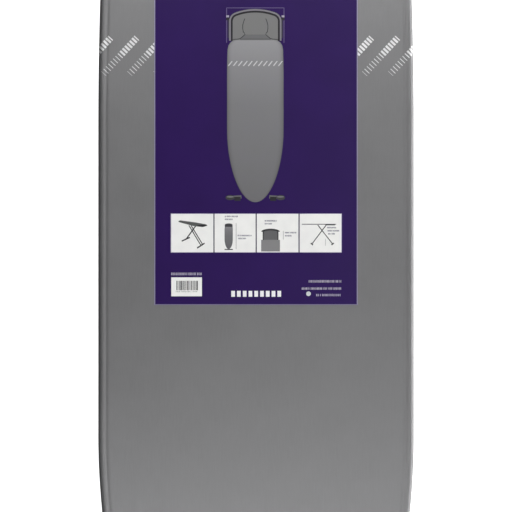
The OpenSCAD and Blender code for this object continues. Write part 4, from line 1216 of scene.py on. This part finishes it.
class IRONBOARD_OT_wheels(bpy.types.Operator):
    """Makes the two transport wheels' tyres: a rounded tread, three grooves and 24 shoulder notches"""

    bl_idname = "ironboard.wheels"
    bl_label = "Wheels"

    def execute(self, context):
        for side in ("left", "right"):
            low, high = node_box(f"{side}_wheel_tyre")
            middle, (width, radius, _), wall = (low + high) / 2, (high - low) / 2, 0.0045
            across = np.linspace(-1, 1, 33)
            tread = radius - 0.0016 * np.abs(across) ** 3.2
            for groove in (-0.45, 0.0, 0.45):
                tread = tread - 0.0008 * np.exp(-(((across - groove) / 0.06) ** 2))
            inner = radius - wall
            profile = [(inner, -width), *zip(tread, across * width), (inner, width)]
            points, faces = lathe(profile, 96)
            turn = np.arctan2(points[..., 1], points[..., 0])
            notches = 0.5 + 0.5 * np.tanh(8 * (np.cos(24 * turn) - 0.8))
            lugs = 1 - 0.022 * notches * (np.abs(points[..., 2]) > 0.55 * width)
            points[..., :2] *= lugs[..., None]
            tyre = mesh_object(f"{side}_tyre", place(points, middle, (1, 0, 0)), faces)
            finish_piece(tyre, finish("tyre"), f"{side}_wheel", [f"{side}_wheel_tyre"])
        return {"FINISHED"}


class IRONBOARD_OT_lever_grip(bpy.types.Operator):
    """Makes the release lever's moulded grip, with five soft finger waves and a rounded end"""

    bl_idname = "ironboard.lever_grip"
    bl_label = "Lever grip"

    def execute(self, context):
        low, high = node_box("lever_grip")
        radius = (high[2] - low[2]) / 2
        start = np.array([low[0], high[1] - radius, (low[2] + high[2]) / 2])
        end = np.array([high[0], low[1] + radius, start[2]])
        along = end - start
        reach = np.linalg.norm(along)
        s = np.linspace(0, 1, 90)
        waves = 0.0006 * np.cos(2 * np.pi * 5 * s) * np.sin(np.pi * s)
        rounding = np.sqrt(np.clip(1 - np.clip((s - 0.9) / 0.1, 0, 1) ** 2, 0, 1))
        collar = 0.94 + 0.06 * np.clip(s / 0.03, 0, 1)
        shape = (radius - 0.0006 + waves) * np.maximum(rounding, 0.05) * collar
        profile = np.concatenate([[[0.0001, 0]], np.stack([shape, s * reach], 1), [[0.0001, reach]]])
        points, faces = lathe(profile, 56)
        grip = mesh_object("lever_hand_grip", place(points, start, along), faces)
        finish_piece(grip, finish("rubber"), "lever", ["lever_grip"])
        return {"FINISHED"}


# ---------------------------------------------------------------- finishes of the model's own parts


PART_FINISHES = {
    "paint":
        "edge_tube left_rail right_rail squeeze_bar heel_leg_brace rest_tube_clamps "
        "rest_cross_bars left_pivot_bracket right_pivot_bracket left_wheel_bracket "
        "right_wheel_bracket nose_leg_tube nose_foot_bar heel_foot_bar left_heel_leg_tube "
        "right_heel_leg_tube nose_cross_member middle_cross_member pivot_cross_member "
        "heel_cross_member",
    "mesh": "mesh_top",
    "zinc":
        "rail_screws guide_rod guide_rod_clips pivot_bracket_screws head_pin head_pin_clip "
        "rest_screws cross_bolt cross_bolt_nut wheel_pins slide_axle lever_pin lever_spring "
        "release_lever",
    "plastic":
        "nose_leg_head nose_foot_socket left_nose_foot_cap right_nose_foot_cap cross_spacers "
        "left_wheel right_wheel left_heel_leg_head right_heel_leg_head cross_bushes "
        "left_heel_foot_cap right_heel_foot_cap lock_housing left_slide_shoe right_slide_shoe",
    "card": "display_card",
}
SOFT_EDGES = {"plastic": 0.0008, "paint": 0.0005, "zinc": 0.0003}
SHARP_PARTS = {"edge_tube", "mesh_top", "display_card", "lever_spring"}


class IRONBOARD_OT_metalwork(bpy.types.Operator):
    """Gives the frame, legs, lock and card of the model their finishes, and softens their edges"""

    bl_idname = "ironboard.metalwork"
    bl_label = "Frame, legs and lock"

    def execute(self, context):
        for kind, names in PART_FINISHES.items():
            for name in names.split():
                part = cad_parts[name]
                part.data.materials.clear()
                part.data.materials.append(finish(kind))
                weld = part.modifiers.new("weld", "WELD")
                weld.merge_threshold = 1e-5
                if name in SHARP_PARTS:
                    continue
                part.data.shade_smooth()
                bevel = part.modifiers.new("soft_edges", "BEVEL")
                bevel.width, bevel.segments = SOFT_EDGES[kind], 2
                bevel.limit_method, bevel.angle_limit = "ANGLE", np.radians(32)
                bevel.harden_normals = bevel.use_clamp_overlap = True
        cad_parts["edge_tube"].data.shade_smooth()
        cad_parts["lever_spring"].data.shade_smooth()
        return {"FINISHED"}


class IRONBOARD_OT_finishes(bpy.types.Operator):
    """Makes the finishes that the other steps use"""

    bl_idname = "ironboard.finishes"
    bl_label = "Finishes"

    def execute(self, context):
        shape, colours = context.scene.ironboard_cover, context.scene.ironboard_colours
        FINISHES.clear()
        FINISHES["cover"] = cover_fabric(colours, shape)
        FINISHES["felt"] = felt(tuple(colours.felt))
        FINISHES["cord"] = braid("hem_cord_braid", tuple(colours.cord))
        FINISHES["thread"] = braid("hem_thread", (0.3, 0.3, 0.31))
        FINISHES["paint"] = powder_coat("frame_paint", tuple(colours.paint), 0.3)
        FINISHES["mesh"] = powder_coat("mesh_paint", tuple(colours.mesh), 0.45)
        FINISHES["zinc"] = zinc_plate("zinc_steel", tuple(colours.zinc))
        FINISHES["plastic"] = moulded("black_plastic", tuple(colours.plastic))
        FINISHES["tray"] = moulded("tray_plastic", tuple(colours.tray), 0.48)
        FINISHES["mat"] = soft_rubber("mat_silicone", tuple(colours.mat))
        FINISHES["tyre"] = soft_rubber("tyre_rubber", tuple(colours.tyre))
        FINISHES["rubber"] = soft_rubber("grip_rubber", shade(tuple(colours.plastic), 1.3))
        FINISHES["card"] = card_stock("card_stock", tuple(colours.card))
        FINISHES["ink"] = printed_ink("card_ink")
        return {"FINISHED"}


# ---------------------------------------------------------------- add-on


STEPS = (
    IRONBOARD_OT_stage,
    IRONBOARD_OT_finishes,
    IRONBOARD_OT_cover,
    IRONBOARD_OT_padding,
    IRONBOARD_OT_iron_rest,
    IRONBOARD_OT_card_print,
    IRONBOARD_OT_wheels,
    IRONBOARD_OT_lever_grip,
    IRONBOARD_OT_metalwork,
)


class IRONBOARD_PT_panel(bpy.types.Panel):
    """Lists the steps and the sizes they use"""

    bl_label = "Ironing board"
    bl_space_type = "VIEW_3D"
    bl_region_type = "UI"
    bl_category = "Ironing board"

    def draw(self, context):
        for step in STEPS:
            self.layout.operator(step.bl_idname)
        for name, group in GROUPS.items():
            box = self.layout.box()
            for field in group.__annotations__:
                box.prop(getattr(context.scene, name), field)


def register():
    for group in GROUPS.values():
        bpy.utils.register_class(group)
    for name, group in GROUPS.items():
        setattr(bpy.types.Scene, name, bpy.props.PointerProperty(type=group))
    for step in (*STEPS, IRONBOARD_PT_panel):
        bpy.utils.register_class(step)


def unregister():
    for step in (IRONBOARD_PT_panel, *reversed(STEPS)):
        bpy.utils.unregister_class(step)
    for name, group in reversed(GROUPS.items()):
        delattr(bpy.types.Scene, name)
        bpy.utils.unregister_class(group)


def main():
    register()
    for step in STEPS:
        kind, name = step.bl_idname.split(".")
        getattr(getattr(bpy.ops, kind), name)()


if __name__ == "__main__":
    main()
